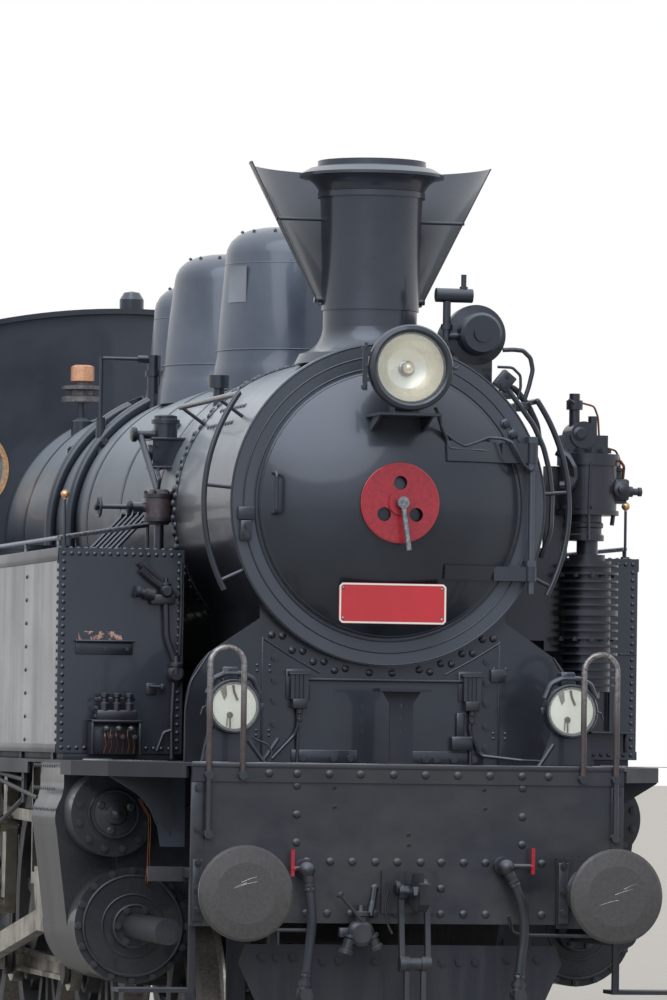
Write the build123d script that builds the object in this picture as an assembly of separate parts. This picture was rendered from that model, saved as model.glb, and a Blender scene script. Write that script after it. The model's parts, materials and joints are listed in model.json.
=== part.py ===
from build123d import *
from math import cos, radians, sin, sqrt, tan
import os

# Side-tank steam locomotive with a leading axle, three coupled axles and a trailing axle.
# It is drawn with X across (+X is the locomotive's left), Y running back from the front
# buffer faces and Z up from the rail top, and every piece is moved once, at the end, to
# the frame whose origin is on the floor under the flanges at mid length.

# Driving dimensions, mm
cylinder_x = 1100
casing_reach = 346
half_width = cylinder_x + casing_reach
buffer_length = 514
rear_overhang = 1770
seat_gap = 0.3
rail_radius = 14

# Wheels and axles
tread_radius = 787
carrying_radius = 435
flange_height = 28
wheel_back = 680
tyre_width = 130
axle_radius = 95
crank_throw = 360
crank_angle = {-1: -45, 1: -135}
leading_axle_y = 1770
leading_gap = 972
wheel_gap = 130
trailing_gap = 1012
carrying_reach = carrying_radius + flange_height
driving_reach = tread_radius + flange_height
driving_spacing = 2 * driving_reach + wheel_gap
first_driving_y = leading_axle_y + carrying_reach + leading_gap + driving_reach
main_y = first_driving_y + driving_spacing
last_driving_y = main_y + driving_spacing
driving_axle_y = {"front": first_driving_y, "main": main_y, "rear": last_driving_y}
trailing_axle_y = last_driving_y + driving_reach + trailing_gap + carrying_reach
length_over_buffers = trailing_axle_y + rear_overhang
rear_beam_y = length_over_buffers - buffer_length

# Frame plates
frame_x = 600
frame_thick = 30
frame_top_z = 1300
frame_bottom_z = 640
axle_box_half = 150
axle_box_x = (540, 660)
spring_x = (490, 570)
spring_leaf = 15
spring_leaves = 5

# Front end and footplate
beam_half_width = 1035
beam_thick = 25
board_z = 2 * tread_radius + flange_height + 38
board_thick = 15
beam_z = (902, board_z - board_thick)
beam_strip = 12
buffer_x = 875
buffer_z = 1050
buffer_head_radius = 220
board_front_y = buffer_length - beam_strip
board_corners = ((1035, board_front_y), (1340, 1000), (half_width, 1400))

# Boiler
boiler_z = 2876
smokebox_ring_radius = 770
smokebox_radius = 745
smokebox_wall = 15
smokebox_front_y = 1018
smokebox_ring_depth = 75
smokebox_back_y = 2560
door_opening_radius = 590
door_radius = 636
door_edge_y = 985
door_crown_y = 800
door_wall = 14
door_straps = ((3132, 48), (2556, 34))
hinge_x = 683
hinge_y = smokebox_front_y - 68
post_radius = 15
boiler_radius = 730
firebox_front_y = main_y + 240
cab_front_y = last_driving_y + 60

# Chimney and domes, from the rail top
chimney_y = 1477
chimney_radius = 228
chimney_bore = 190
sleeve_radius = 236
sleeve_top_radius = 248
sleeve_z = (3822, 4368)
band_radius = 260
band_z = (4368, 4395)
chimney_rim_radius = 350
chimney_rim_z = 4476
chimney_top_z = 4546
wing_thick = 6
wing_arc = 76
domes = {
    # name: (centre y, radius at the foot, radius at the shoulder, top z)
    "front": (3330, 374, 350, 4385),
    "middle": (4760, 384, 352, 4325),
    "rear": (5680, 300, 272, 4205),
}

# Side tanks
tank_inner_x = 830
tank_front_y = 1807
tank_z = (board_z + 34, board_z + 1023)
tank_lid_y = 4600
tank_lid_x = 1140
lid_radius = 222
collar_height = 60
lid_pin_radius = 6
lid_hinge_x = tank_lid_x - lid_radius - 18
lid_hinge_z = tank_z[1] + collar_height + 16

# Cab and bunker
cab_wall = 30
cab_back_y = trailing_axle_y - 380
doorway_y = (cab_back_y - 890, cab_back_y - 270)
roof_crown_z = 4210
roof_radius = 3900
roof_thick = 30
window_radius = 215
cab_window_x = 960
cab_window_z = 3270
bunker_back_y = rear_beam_y - 346
bunker_z = 3050
bunker_floor_z = 2300
floor_z = board_z + 160
door_gap = 6
cab_hinge_x = half_width - cab_wall - 12
cab_hinge_y = doorway_y[0] + door_gap
cab_hinges_z = (floor_z + 150, floor_z + 780)
cab_hinge_height = 90
cab_pin_radius = 6

# Cylinders and motion
cylinder_z = 850
cylinder_radius = 280
cylinder_y = (leading_axle_y - 170, leading_axle_y + 710)
casing_y = (leading_axle_y + 30, leading_axle_y + 680)
valve_x = 1205
valve_z = 1385
valve_radius = 205
coupling_rod_x = (865, 925)
connecting_rod_x = (1068, 1132)
connecting_rod_length = 2350
piston_rod_radius = 38
crosshead_half = 190
guide_bar_z = (990, 1050)
guide_bars_x = ((1036, 1062), (1138, 1164))
yoke_z = 1200
wrist_pin_radius = 45
cover_thick = 20
coupling_pin_radius = 55
main_pin_radius = 70
pin_clearance = 0.6

half_length = length_over_buffers / 2
tyre_face_x = wheel_back + tyre_width
beam_back_y = buffer_length + beam_thick

# Brake hoses: their routes from the cocks on the front beam to the coupling heads
hose_radius = 22.5
hose_routes = {
    "right": [(-493, 430, 1095), (-470, 428, 945), (-482, 443, 790), (-500, 440, 640)],
    "left": [
        (478, 430, 1120), (513, 428, 1050), (540, 432, 965),
        (546, 438, 850), (530, 442, 740), (520, 440, 640),
    ],
}
pieces = {}


# Plain forms, each from its own limits
def block(x, y, z):
    size = [high - low for low, high in (x, y, z)]
    middle = [(high + low) / 2 for low, high in (x, y, z)]
    return Pos(*middle) * Box(*size)


def bar_x(radius, y, z, x):
    return Pos((x[0] + x[1]) / 2, y, z) * Rot(0, 90, 0) * Cylinder(radius, x[1] - x[0])


def bar_y(radius, x, z, y):
    return Pos(x, (y[0] + y[1]) / 2, z) * Rot(90, 0, 0) * Cylinder(radius, y[1] - y[0])


def bar_z(radius, x, y, z):
    return Pos(x, y, (z[0] + z[1]) / 2) * Cylinder(radius, z[1] - z[0])


def plate_x(outline, x):
    """A plate between two x values, its outline in (y, z) points."""
    plane = Plane(origin=(x[0], 0, 0), x_dir=(0, 1, 0), z_dir=(1, 0, 0))
    return extrude(plane * Polygon(*outline, align=None), amount=x[1] - x[0], dir=(1, 0, 0))


def plate_y(outline, y):
    """A plate between two y values, its outline in (x, z) points."""
    plane = Plane(origin=(0, y[0], 0), x_dir=(1, 0, 0), z_dir=(0, -1, 0))
    return extrude(plane * Polygon(*outline, align=None), amount=y[1] - y[0], dir=(0, 1, 0))


def plate_z(outline, z):
    """A plate between two z values, its outline in (x, y) points."""
    plane = Plane(origin=(0, 0, z[0]))
    return extrude(plane * Polygon(*outline, align=None), amount=z[1] - z[0], dir=(0, 0, 1))


def turned_x(outline, y, z):
    """A body turned about a line along X, its outline in (x, radius) points."""
    plane = Plane(origin=(0, y, z), x_dir=(1, 0, 0), z_dir=(0, -1, 0))
    return revolve(plane * Polygon(*outline, align=None), Axis((0, y, z), (1, 0, 0)))


def turned_y(outline, x, z):
    """A body turned about a line along Y, its outline in (radius, y) points."""
    plane = Plane(origin=(x, 0, z))
    return revolve(plane * Polygon(*outline, align=None), Axis((x, 0, z), (0, 1, 0)))


def turned_z(outline, x, y):
    """A body turned about a line along Z, its outline in (radius, z) points."""
    plane = Plane(origin=(x, y, 0), x_dir=(1, 0, 0), z_dir=(0, -1, 0))
    return revolve(plane * Polygon(*outline, align=None), Axis((x, y, 0), (0, 0, 1)))


def pipe(radius, bend, *points):
    """A round pipe or rod through points, with arcs of one radius at its corners."""
    path = FilletPolyline(*points, radius=bend) if len(points) > 2 else Line(*points)
    start = Plane(path @ 0, z_dir=path % 0)
    return sweep(start * Circle(radius), path)


def ring_pipe(radius, ring_radius, y, start, end):
    """A pipe bent round the boiler's axis, between two angles above the +X side."""
    section = Plane.XY * Pos(ring_radius, 0) * Circle(radius)
    arc = revolve(section, Axis((0, 0, 0), (0, -1, 0)), revolution_arc=end - start)
    return Pos(0, y, boiler_z) * Rot(0, -start, 0) * arc


def stanchion(radius, y, angle, reach):
    """A short bar that stands out from the boiler's axis, between two distances."""
    return Pos(0, y, boiler_z) * Rot(0, -angle, 0) * bar_x(radius, 0, 0, reach)


def beyond(start, end, distance):
    """The point past the end of a run, or before its start where distance is below 0."""
    base = end if distance > 0 else start
    direction = (Vector(*end) - Vector(*start)).normalized()
    return tuple(Vector(*base) + direction * distance)


def other_side(solid):
    return mirror(solid, about=Plane.YZ)


def eye_y(first, last, first_radius, last_radius, waist, y):
    """The same flat rod with its centres in (x, z), between two y values."""
    flat = eye_bar(first, last, first_radius, last_radius, waist, (-y[1], -y[0]))
    return Rot(0, 0, -90) * flat


def both_sides(solid):
    return solid + other_side(solid)


def eye_bar(first, last, first_radius, last_radius, waist, x):
    """A flat rod between two round eyes, its centres in (y, z), between two x values."""
    run = (last[0] - first[0], last[1] - first[1])
    length = sqrt(run[0] ** 2 + run[1] ** 2)
    across = (-run[1] / length * waist / 2, run[0] / length * waist / 2)
    outline = [
        (first[0] + across[0], first[1] + across[1]),
        (last[0] + across[0], last[1] + across[1]),
        (last[0] - across[0], last[1] - across[1]),
        (first[0] - across[0], first[1] - across[1]),
    ]
    return plate_x(outline, x) + bar_x(first_radius, *first, x) + bar_x(last_radius, *last, x)


# Wheelsets
def wheel(radius, spokes, hub_radius, pin_angle=None):
    """The wheel on the +X side, about the X axis, with a crank where pin_angle is given."""
    rim_radius = radius - 115
    tyre = turned_x(
        [
            (wheel_back, rim_radius),
            (wheel_back, radius + flange_height - 8),
            (wheel_back + 8, radius + flange_height),
            (wheel_back + 20, radius + flange_height - 4),
            (wheel_back + 34, radius),
            (tyre_face_x, radius - 4),
            (tyre_face_x, rim_radius),
        ],
        0,
        0,
    )
    solid = tyre + bar_x(hub_radius, 0, 0, (wheel_back, tyre_face_x + 10))
    spoke = plate_x(
        [(-42, hub_radius - 25), (42, hub_radius - 25), (27, rim_radius + 12), (-27, rim_radius + 12)],
        (wheel_back + 38, wheel_back + 88),
    )
    for turn in range(spokes):
        solid += Rot(360 * turn / spokes, 0, 0) * spoke
    if pin_angle is not None:
        boss_x = (wheel_back + 20, tyre_face_x + 30)
        reach = crank_throw
        boss = bar_x(hub_radius, 0, 0, boss_x) + bar_x(115, reach, 0, boss_x)
        boss += plate_x([(0, -hub_radius), (reach, -115), (reach, 115), (0, hub_radius)], boss_x)
        weight = bar_x(rim_radius + 10, 0, 0, (wheel_back + 25, wheel_back + 100))
        weight &= block((0, 1000), (-radius, -radius * 0.48), (-radius, radius))
        solid += Rot(pin_angle, 0, 0) * (boss + weight)
    return solid


def wheelset(radius, spokes, hub_radius, pins=None):
    """An axle with its two wheels; pins gives each pin's radius and outer end."""
    solid = bar_x(axle_radius, 0, 0, (-wheel_back - 60, wheel_back + 60))
    for side in (-1, 1):
        angle = crank_angle[side] if pins else None
        one = wheel(radius, spokes, hub_radius, angle)
        if pins:
            place = (crank_throw * cos(radians(angle)), crank_throw * sin(radians(angle)))
            one += bar_x(pins[0], *place, (tyre_face_x, pins[1]))
            if pins[2]:
                one += bar_x(pins[0] + 18, *place, (coupling_rod_x[1] + 5, pins[1]))
        solid += one if side == 1 else other_side(one)
    return solid


pin_end = coupling_rod_x[1] + 30
pieces["wheelset_leading"] = Pos(0, leading_axle_y, carrying_radius) * wheelset(carrying_radius, 10, 110)
pieces["wheelset_trailing"] = Pos(0, trailing_axle_y, carrying_radius) * wheelset(carrying_radius, 10, 110)
for place, pin_radius in (("front", coupling_pin_radius), ("main", main_pin_radius), ("rear", coupling_pin_radius)):
    solid = wheelset(tread_radius, 14, 165, (pin_radius, pin_end, True))
    pieces[f"wheelset_driving_{place}"] = Pos(0, driving_axle_y[place], tread_radius) * solid


# Rods and motion
def crank_pin(side, axle):
    """Where the crank pin of one axle stands, in (y, z)."""
    angle = radians(crank_angle[side])
    return (axle + crank_throw * cos(angle), tread_radius + crank_throw * sin(angle))


def crosshead_y(side):
    pin_y, pin_z = crank_pin(side, main_y)
    return pin_y - sqrt(connecting_rod_length**2 - (cylinder_z - pin_z) ** 2)


def coupling_rod(side):
    pins = [crank_pin(side, driving_axle_y[place]) for place in ("front", "main", "rear")]
    solid = eye_bar(pins[0], pins[1], 105, 125, 120, coupling_rod_x)
    solid += eye_bar(pins[1], pins[2], 125, 105, 120, coupling_rod_x)
    for start, end in ((pins[0], pins[1]), (pins[1], pins[2])):
        flute = ((start[0] + 170, end[0] - 170), (start[1] - 32, start[1] + 32))
        solid -= block((coupling_rod_x[1] - 15, coupling_rod_x[1]), *flute)
        solid -= block((coupling_rod_x[0], coupling_rod_x[0] + 15), *flute)
    for pin, radius in zip(pins, (coupling_pin_radius, main_pin_radius, coupling_pin_radius)):
        solid -= bar_x(radius + pin_clearance, *pin, coupling_rod_x)
    return solid


def connecting_rod(side):
    big = crank_pin(side, main_y)
    small = (crosshead_y(side), cylinder_z)
    solid = eye_bar(small, big, 85, 150, 110, connecting_rod_x)
    solid += block(connecting_rod_x, (big[0] - 175, big[0] + 175), (big[1] - 130, big[1] + 130))
    solid -= bar_x(wrist_pin_radius + pin_clearance, *small, connecting_rod_x)
    # The outer end of the crank pin, with the return crank that drives the valve gear
    solid += bar_x(60, *big, (pin_end + 12, connecting_rod_x[1] + 45))
    crank = return_crank_pin(side)
    crank_x = (connecting_rod_x[1] + 15, connecting_rod_x[1] + 45)
    solid += eye_bar(big, crank, 75, 50, 85, crank_x)
    solid += bar_x(30, *crank, (crank_x[1], crank_x[1] + 30))
    return solid


def return_crank_pin(side):
    """The return crank leads the crank by a right angle, on a 150 mm circle."""
    angle = radians(crank_angle[side])
    big = crank_pin(side, main_y)
    inward = (-cos(angle) * crank_throw, -sin(angle) * crank_throw)
    sideways = (-sin(angle) * 160, cos(angle) * 160)
    return (big[0] + inward[0] + sideways[0], big[1] + inward[1] + sideways[1])


def crosshead(side):
    """Slides on two bars overhead; the connecting rod swings between its cheeks."""
    y = crosshead_y(side)
    half = crosshead_half
    cheek = connecting_rod_x[0] - 45, connecting_rod_x[1] + 45
    body = plate_x(
        [
            (y - half, guide_bar_z[0] - 40), (y - 130, cylinder_z - 95), (y + 60, cylinder_z - 95),
            (y + half, guide_bar_z[0] - 40), (y + half, guide_bar_z[1] + 32), (y - half, guide_bar_z[1] + 32),
        ],
        cheek,
    )
    for bar in guide_bars_x:
        tunnel = (bar[0] - 2, bar[1] + 2)
        body -= block(tunnel, (y - half, y + half), (guide_bar_z[0] - seat_gap, guide_bar_z[1] + seat_gap))
    slot = (connecting_rod_x[0] - 6, connecting_rod_x[1] + 6)
    body -= block(slot, (y - 105, y + half), (cylinder_z - 150, guide_bar_z[0] - 30))
    body += bar_x(wrist_pin_radius, y, cylinder_z, (slot[0] - 20, slot[1] + 20))
    body += bar_y(62, cylinder_x, cylinder_z, (y - half - 60, y - 105))
    body += bar_y(piston_rod_radius, cylinder_x, cylinder_z, (cylinder_y[0] + 200, y - half))
    return body


def guide_bars():
    """Two bars over each crosshead, with the rod between them, on links under a gusseted plate."""
    back = main_y + crank_throw - connecting_rod_length + crosshead_half + 90
    top = board_z - board_thick
    outer = (guide_bars_x[0][0], guide_bars_x[1][1])
    solid = block(outer, (back - 30, back), (yoke_z, top))
    for bar in guide_bars_x:
        solid += block(bar, (cylinder_y[1] + cover_thick, back), guide_bar_z)
        solid += block(bar, (back - 30, back), (guide_bar_z[1] + seat_gap, yoke_z - seat_gap))
    gusset = [(back - 30, yoke_z), (back - 30, top), (back - 190, top)]
    solid += plate_x(gusset, (cylinder_x - 8, cylinder_x + 8))
    return solid


def casing():
    """The sheet wrapped round the cylinder and the valve chest, up to the footplate."""
    reach = casing_reach
    low = (cylinder_x, cylinder_z - cylinder_radius)
    side = (cylinder_x + reach - 67, cylinder_z - 20)
    shoulder = (cylinder_x + reach - 6, 1310)
    waist = (cylinder_x + reach - 16, 1432)
    rise = (cylinder_x + reach - 40, 1530)
    with BuildPart() as part:
        with BuildSketch(Plane(origin=(0, casing_y[0], 0), x_dir=(1, 0, 0), z_dir=(0, -1, 0))):
            with BuildLine():
                ThreePointArc(low, (cylinder_x + 198, cylinder_z - 198), side)
                Line(side, shoulder)
                ThreePointArc(shoulder, (cylinder_x + reach, 1375), waist)
                ThreePointArc(waist, (cylinder_x + reach - 34, 1475), rise)
                Polyline(
                    rise, (rise[0], board_z - board_thick), (rise[0] - 30, board_z - board_thick),
                    (valve_x - 60, 1535), (valve_x - 200, 1365), (cylinder_x - 230, 1000), low,
                )
            make_face()
        extrude(amount=casing_y[1] - casing_y[0], dir=(0, 1, 0))
    # The wrap is open towards the rods, but for its sheet and the front plate
    return part.part


def cylinder():
    """One cylinder with its valve chest above, their casing and the tail rod's cover."""
    y = cylinder_y
    solid = bar_y(cylinder_radius, cylinder_x, cylinder_z, y)
    solid += bar_y(valve_radius, valve_x, valve_z, (y[0] - 30, y[1] + 30))
    solid += casing()
    # Saddle that bolts the cylinder to the frame plate, over the leading wheel
    solid += block((frame_x + frame_thick, valve_x - 40), (y[0] + 60, y[1] - 60), (980, 1420))
    # Covers: front with the tail rod's long casing, back with the gland
    solid += bar_y(cylinder_radius - 35, cylinder_x, cylinder_z, (y[0] - 25, y[0]))
    solid += bar_y(110, cylinder_x, cylinder_z, (y[0] - 70, y[0]))
    solid += bar_y(62, cylinder_x, cylinder_z, (y[0] - 900, y[0]))
    solid += bar_y(cylinder_radius - 60, cylinder_x, cylinder_z, (y[1], y[1] + cover_thick))
    solid += bar_y(75, cylinder_x, cylinder_z, (y[1], y[1] + 65))
    solid += bar_y(115, valve_x, valve_z, (y[0] - 85, y[0]))
    solid += bar_y(50, valve_x, valve_z, (y[1], y[1] + 130))
    # The bore runs the whole way of the piston rod and its tail
    solid -= bar_y(piston_rod_radius + 2, cylinder_x, cylinder_z, (y[0] - 840, y[1] + 70))
    return solid


def valve_gear(side):
    """Link, radius rod, combination lever and eccentric rod, held at their middle places."""
    near = connecting_rod_x[1] + 52
    plane = (near, near + 28)
    crank = return_crank_pin(side)
    link_y = main_y - 1180
    link_z = 1290
    foot = (link_y + 40, link_z - 430)
    outer = (connecting_rod_x[1] + 80, connecting_rod_x[1] + 108)
    solid = eye_bar(foot, crank, 42, 60, 60, outer)
    solid += eye_bar((link_y, link_z + 200), foot, 60, 42, 100, (outer[0] - 60, outer[0]))
    solid += bar_x(45, link_y, link_z, (outer[0] - 60, outer[1] + 30))
    hanger = [(link_y - 60, link_z - 60), (link_y + 60, link_z - 60)]
    hanger += [(link_y + 90, board_z - board_thick), (link_y - 90, board_z - board_thick)]
    solid += plate_x(hanger, (outer[1] + 5, outer[1] + 30))
    lever_y = cylinder_y[1] + 250
    lever_top = (lever_y, valve_z - 60)
    solid += eye_bar(lever_top, (link_y, link_z + 60), 38, 38, 60, (outer[0] - 48, outer[0] - 10))
    solid += eye_bar((lever_y, valve_z + 20), (lever_y + 10, cylinder_z - 190), 42, 36, 55, (plane[1] + 2, plane[1] + 30))
    solid += bar_y(26, valve_x, valve_z, (cylinder_y[1] + 130 + seat_gap, lever_y + 60))
    return solid


for side, name in ((-1, "right"), (1, "left")):
    rods = {
        f"coupling_rod_{name}": coupling_rod(side),
        f"connecting_rod_{name}": connecting_rod(side),
        f"crosshead_{name}": crosshead(side),
        f"valve_gear_{name}": valve_gear(side),
    }
    for node, solid in rods.items():
        pieces[node] = solid if side == 1 else other_side(solid)
pieces["cylinders"] = both_sides(cylinder())
pieces["guide_bars"] = both_sides(guide_bars())


# Main frame, with a slot for each axle box
def frame_plate():
    low, high = beam_back_y, rear_beam_y - beam_thick
    outline = [
        (low, 905),
        (leading_axle_y - 640, 905),
        (leading_axle_y - 480, frame_bottom_z),
        (leading_axle_y - 350, frame_bottom_z),
        (leading_axle_y - 260, 330),
        (leading_axle_y + 260, 330),
        (leading_axle_y + 350, frame_bottom_z),
        (trailing_axle_y - 350, frame_bottom_z),
        (trailing_axle_y - 260, 330),
        (trailing_axle_y + 260, 330),
        (trailing_axle_y + 350, frame_bottom_z),
        (high, 905),
        (high, frame_top_z),
        (low, frame_top_z),
    ]
    solid = plate_x(outline, (frame_x, frame_x + frame_thick))
    for y in driving_axle_y.values():
        horn = [(y - 280, frame_bottom_z), (y - 230, 520), (y + 230, 520), (y + 280, frame_bottom_z)]
        solid += plate_x(horn, (frame_x, frame_x + frame_thick))
    for y, z in axle_places():
        half = axle_box_half
        solid -= block((frame_x, frame_x + frame_thick), (y - half, y + half), (0, z + half + 60))
    holes = (leading_axle_y + 930, first_driving_y + 880, main_y + 880, trailing_axle_y - 1330)
    for y in holes:
        solid -= block((frame_x, frame_x + frame_thick), (y - 250, y + 250), (860, 1080))
    return solid


def axle_places():
    places = [(leading_axle_y, carrying_radius), (trailing_axle_y, carrying_radius)]
    return places + [(y, tread_radius) for y in driving_axle_y.values()]


def main_frame():
    solid = both_sides(frame_plate())
    reach = 180 + 65 * (spring_leaves - 1)
    for y, z in axle_places():
        low = z + axle_box_half + 20 + spring_leaf * spring_leaves
        for end in (y - reach, y + reach - 50):
            solid += both_sides(block((spring_x[0], frame_x), (end, end + 50), (low, low + 60)))
    inner = (-frame_x, frame_x)
    front, back = first_driving_y - 870, trailing_axle_y - 1030
    members = (beam_back_y + 361, leading_axle_y + 610, front, main_y - 550, back, rear_beam_y - 486)
    for y in members:
        solid += block(inner, (y, y + 30), (frame_bottom_z + 300, frame_top_z))
    solid += block(inner, (members[0], front), (frame_top_z - 30, frame_top_z))
    solid += block(inner, (back - 100, members[-1]), (frame_top_z - 30, frame_top_z))
    return solid


def axle_boxes():
    """Boxes between the horns of the frame, each with its leaf spring on top."""
    solid = Part()
    half = axle_box_half
    for y, z in axle_places():
        box = block(axle_box_x, (y - half, y + half), (z - half, z + half))
        for x in ((axle_box_x[0], frame_x - seat_gap), (frame_x + frame_thick + seat_gap, axle_box_x[1])):
            box += block(x, (y - half - 22, y + half + 22), (z - half, z + half))
        box -= bar_x(axle_radius + pin_clearance, y, z, axle_box_x)
        box += block(spring_x, (y - 60, y + 60), (z + half - 40, z + half + 20))
        for leaf in range(spring_leaves):
            reach = 180 + 65 * leaf
            low = z + half + 20 + spring_leaf * leaf
            box += block(spring_x, (y - reach, y + reach), (low, low + spring_leaf))
        solid += box
    return both_sides(solid)


def guard_plate():
    """The plate hung between the frame plates under the front beam, and the rail guards."""
    outline = [(746, 799), (776, 710), (700, 545), (620, 420)]
    outline += [(-x, z) for x, z in reversed(outline)]
    solid = plate_y(outline, (630, 642))
    solid += both_sides(block((frame_x, frame_x + frame_thick), (630, 700), (740, 905 - seat_gap)))
    near = frame_x + frame_thick + seat_gap
    y = leading_axle_y - carrying_reach - 127
    guard = plate_x([(y, 905), (y, 600), (y - 30, 80), (y + 22, 80), (y + 20, 905)], (near, near + 90))
    foot = block((near + 30, near + 110), (y - 30, y + 22), (80, 320))
    return solid + both_sides(guard - block((near, near + 40), (y - 60, y + 60), (80, 420)) + foot)


def brake_gear():
    """Blocks before the driving wheels on their hangers, with beams, a pull rod and the brake cylinder."""
    tread, hanger_x = (722, 808), (740, 780)
    beam_z_low, rod_z, pin_z = 528, 500, 1220
    pin_from = frame_x + frame_thick + seat_gap
    solid = Part()
    for y in driving_axle_y.values():
        shoe = bar_x(tread_radius + 63, y, tread_radius, tread) - bar_x(tread_radius + 8, y, tread_radius, tread)
        shoe &= block(tread, (y - 900, y - 700), (tread_radius - 230, tread_radius + 200))
        hanger_y = (y - 872, y - 848)
        side = shoe + block(hanger_x, hanger_y, (beam_z_low - 30, pin_z + 35))
        side += bar_x(24, y - 860, pin_z, (pin_from, hanger_x[1] + 12))
        solid += both_sides(side) + bar_x(25, y - 872, beam_z_low, (-hanger_x[1], hanger_x[1]))
    lever_y = trailing_axle_y - 1470
    solid += bar_y(20, 0, rod_z, (first_driving_y - 872, lever_y))
    solid += eye_bar((lever_y, 1000), (lever_y, rod_z), 42, 36, 50, (-15, 15))
    solid += bar_y(28, 0, 1000, (lever_y, lever_y + 60))
    solid += bar_y(150, 0, 1000, (lever_y + 50, trailing_axle_y - 1030 - seat_gap))
    return solid


def air_reservoirs():
    """Two long tanks for the brake's air, slung under the footplate."""
    x, z, radius = 930, 1400, 190
    first, last = doorway_y[0] - 140, cab_back_y + 250
    outline = [
        (0, first - 45), (110, first - 34), (radius - 18, first - 12), (radius, first + 10),
        (radius, last - 10), (radius - 18, last + 12), (110, last + 34), (0, last + 45),
    ]
    solid = turned_y(outline, x, z)
    for y in (first + 180, last - 240):
        solid += bar_y(radius + 8, x, z, (y, y + 60))
        for end in (x - radius - 8, x + radius - 12):
            solid += block((end, end + 20), (y, y + 60), (z, board_z - board_thick - seat_gap))
    return both_sides(solid)


pieces["main_frame"] = main_frame()
pieces["guard_plate"] = guard_plate()
pieces["brake_gear"] = brake_gear()
pieces["axle_boxes"] = axle_boxes()
pieces["air_reservoirs"] = air_reservoirs()


# Buffer beams, buffers and draw gear
def buffer_beam():
    y = (buffer_length, beam_back_y)
    outline = [
        (-beam_half_width, beam_z[1]),
        (-beam_half_width, beam_z[0] + 120),
        (-beam_half_width + 60, beam_z[0]),
        (beam_half_width - 60, beam_z[0]),
        (beam_half_width, beam_z[0] + 120),
        (beam_half_width, beam_z[1]),
    ]
    solid = plate_y(outline, y)
    solid += block((-beam_half_width, beam_half_width), (y[0] - beam_strip, y[0]), (beam_z[1] - 70, beam_z[1]))
    # Bracket behind each end
    arm = block((beam_half_width - 35, beam_half_width), (y[1], y[1] + 180), (1106, 1150))
    solid += both_sides(arm + block((beam_half_width - 35, beam_half_width + 165), (y[1] + 165, y[1] + 180), (1086, 1153)))
    for side, name in ((-1, "right"), (1, "left")):
        solid += brake_cock(side, hose_routes[name])
    return solid


def buffer():
    head = turned_y(
        [(0, 0), (140, 0), (buffer_head_radius - 12, 9), (buffer_head_radius, 20), (buffer_head_radius, 36), (60, 60), (0, 60)],
        buffer_x,
        buffer_z,
    )
    solid = head + bar_y(70, buffer_x, buffer_z, (40, 260))
    solid += turned_y([(0, 230), (92, 230), (98, 250), (98, 440), (125, 470), (125, 490), (0, 490)], buffer_x, buffer_z)
    reach = 165
    solid += block((buffer_x - reach, buffer_x + reach), (buffer_length - 24, buffer_length), (buffer_z - reach, buffer_z + reach))
    return both_sides(solid)


def brake_cock(side, route):
    """The pipe, cock and outlet that a brake hose hangs from, with the cock's handle."""
    start, second = route[0], route[1]
    above = beyond(start, second, -55)
    top = beyond(start, second, -80)
    solid = pipe(27, 0, above, start)
    solid += Pos(*above) * Sphere(38)
    solid += bar_y(24, above[0], above[2] + 6, (above[1], buffer_length))
    solid += bar_y(44, above[0], above[2] + 6, (buffer_length - 30, buffer_length))
    handle = above[0] + (134 if side > 0 else 62) * side
    solid += bar_x(12, above[1] + 30, above[2] + 6, sorted((above[0], handle)))
    solid += block(sorted((handle - 8, handle + 8)), (above[1] + 22, above[1] + 38), (above[2] - 30, top[2] + 70))
    return solid


def draw_gear():
    y = buffer_length
    hook = Plane(origin=(25, 0, 0), x_dir=(0, 1, 0), z_dir=(1, 0, 0)) * Polygon(
        (y, buffer_z - 35), (y, buffer_z + 35), (y - 160, buffer_z + 40), (y - 190, buffer_z + 85),
        (y - 225, buffer_z + 95), (y - 215, buffer_z + 30), (y - 240, buffer_z - 10), (y - 300, buffer_z - 5),
        (y - 330, buffer_z + 50), (y - 370, buffer_z + 45), (y - 350, buffer_z - 50), (y - 280, buffer_z - 85),
        (y - 150, buffer_z - 60), align=None,
    )
    solid = extrude(hook, amount=-50)
    solid += block((-130, 130), (y - 20, y), (buffer_z - 100, buffer_z + 100))
    # Screw coupling that hangs from the hook's pin
    solid += bar_x(26, y - 120, buffer_z, (-75, 75))
    for x in (-62, 62):
        solid += eye_bar((y - 120, buffer_z), (y - 160, buffer_z - 330), 38, 38, 34, (x - 12, x + 12))
    solid += bar_x(30, y - 160, buffer_z - 330, (-50, 50))
    for x in (-40, 40):
        solid += eye_bar((y - 160, buffer_z - 330), (y - 170, buffer_z - 600), 36, 30, 32, (x - 11, x + 11))
    solid += bar_x(22, y - 170, buffer_z - 600, (-50, 50))
    return solid


def far_end(solid):
    """The same piece at the locomotive's other end."""
    return Pos(0, length_over_buffers, 0) * Rot(0, 0, 180) * solid


def hose(name):
    """A brake hose along its route, with arcs as large as its runs allow."""
    points = [Vector(*point) for point in hose_routes[name]]
    radii = []
    for before, here, after in zip(points, points[1:], points[2:]):
        turn = radians((here - before).get_angle(after - here))
        shorter = min((here - before).length, (after - here).length)
        radii.append(0.45 * shorter / tan(turn / 2))
    path = FilletPolyline(*points, radius=radii)
    print("hose", name, "length", round(path.length), "radii", [round(radius) for radius in radii])
    start = Plane(path @ 0, z_dir=path % 0)
    solid = sweep(start * Circle(hose_radius), path)
    print("volume over section times length", round(solid.volume / (3.14159265 * hose_radius**2 * path.length), 4))
    return solid


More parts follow.
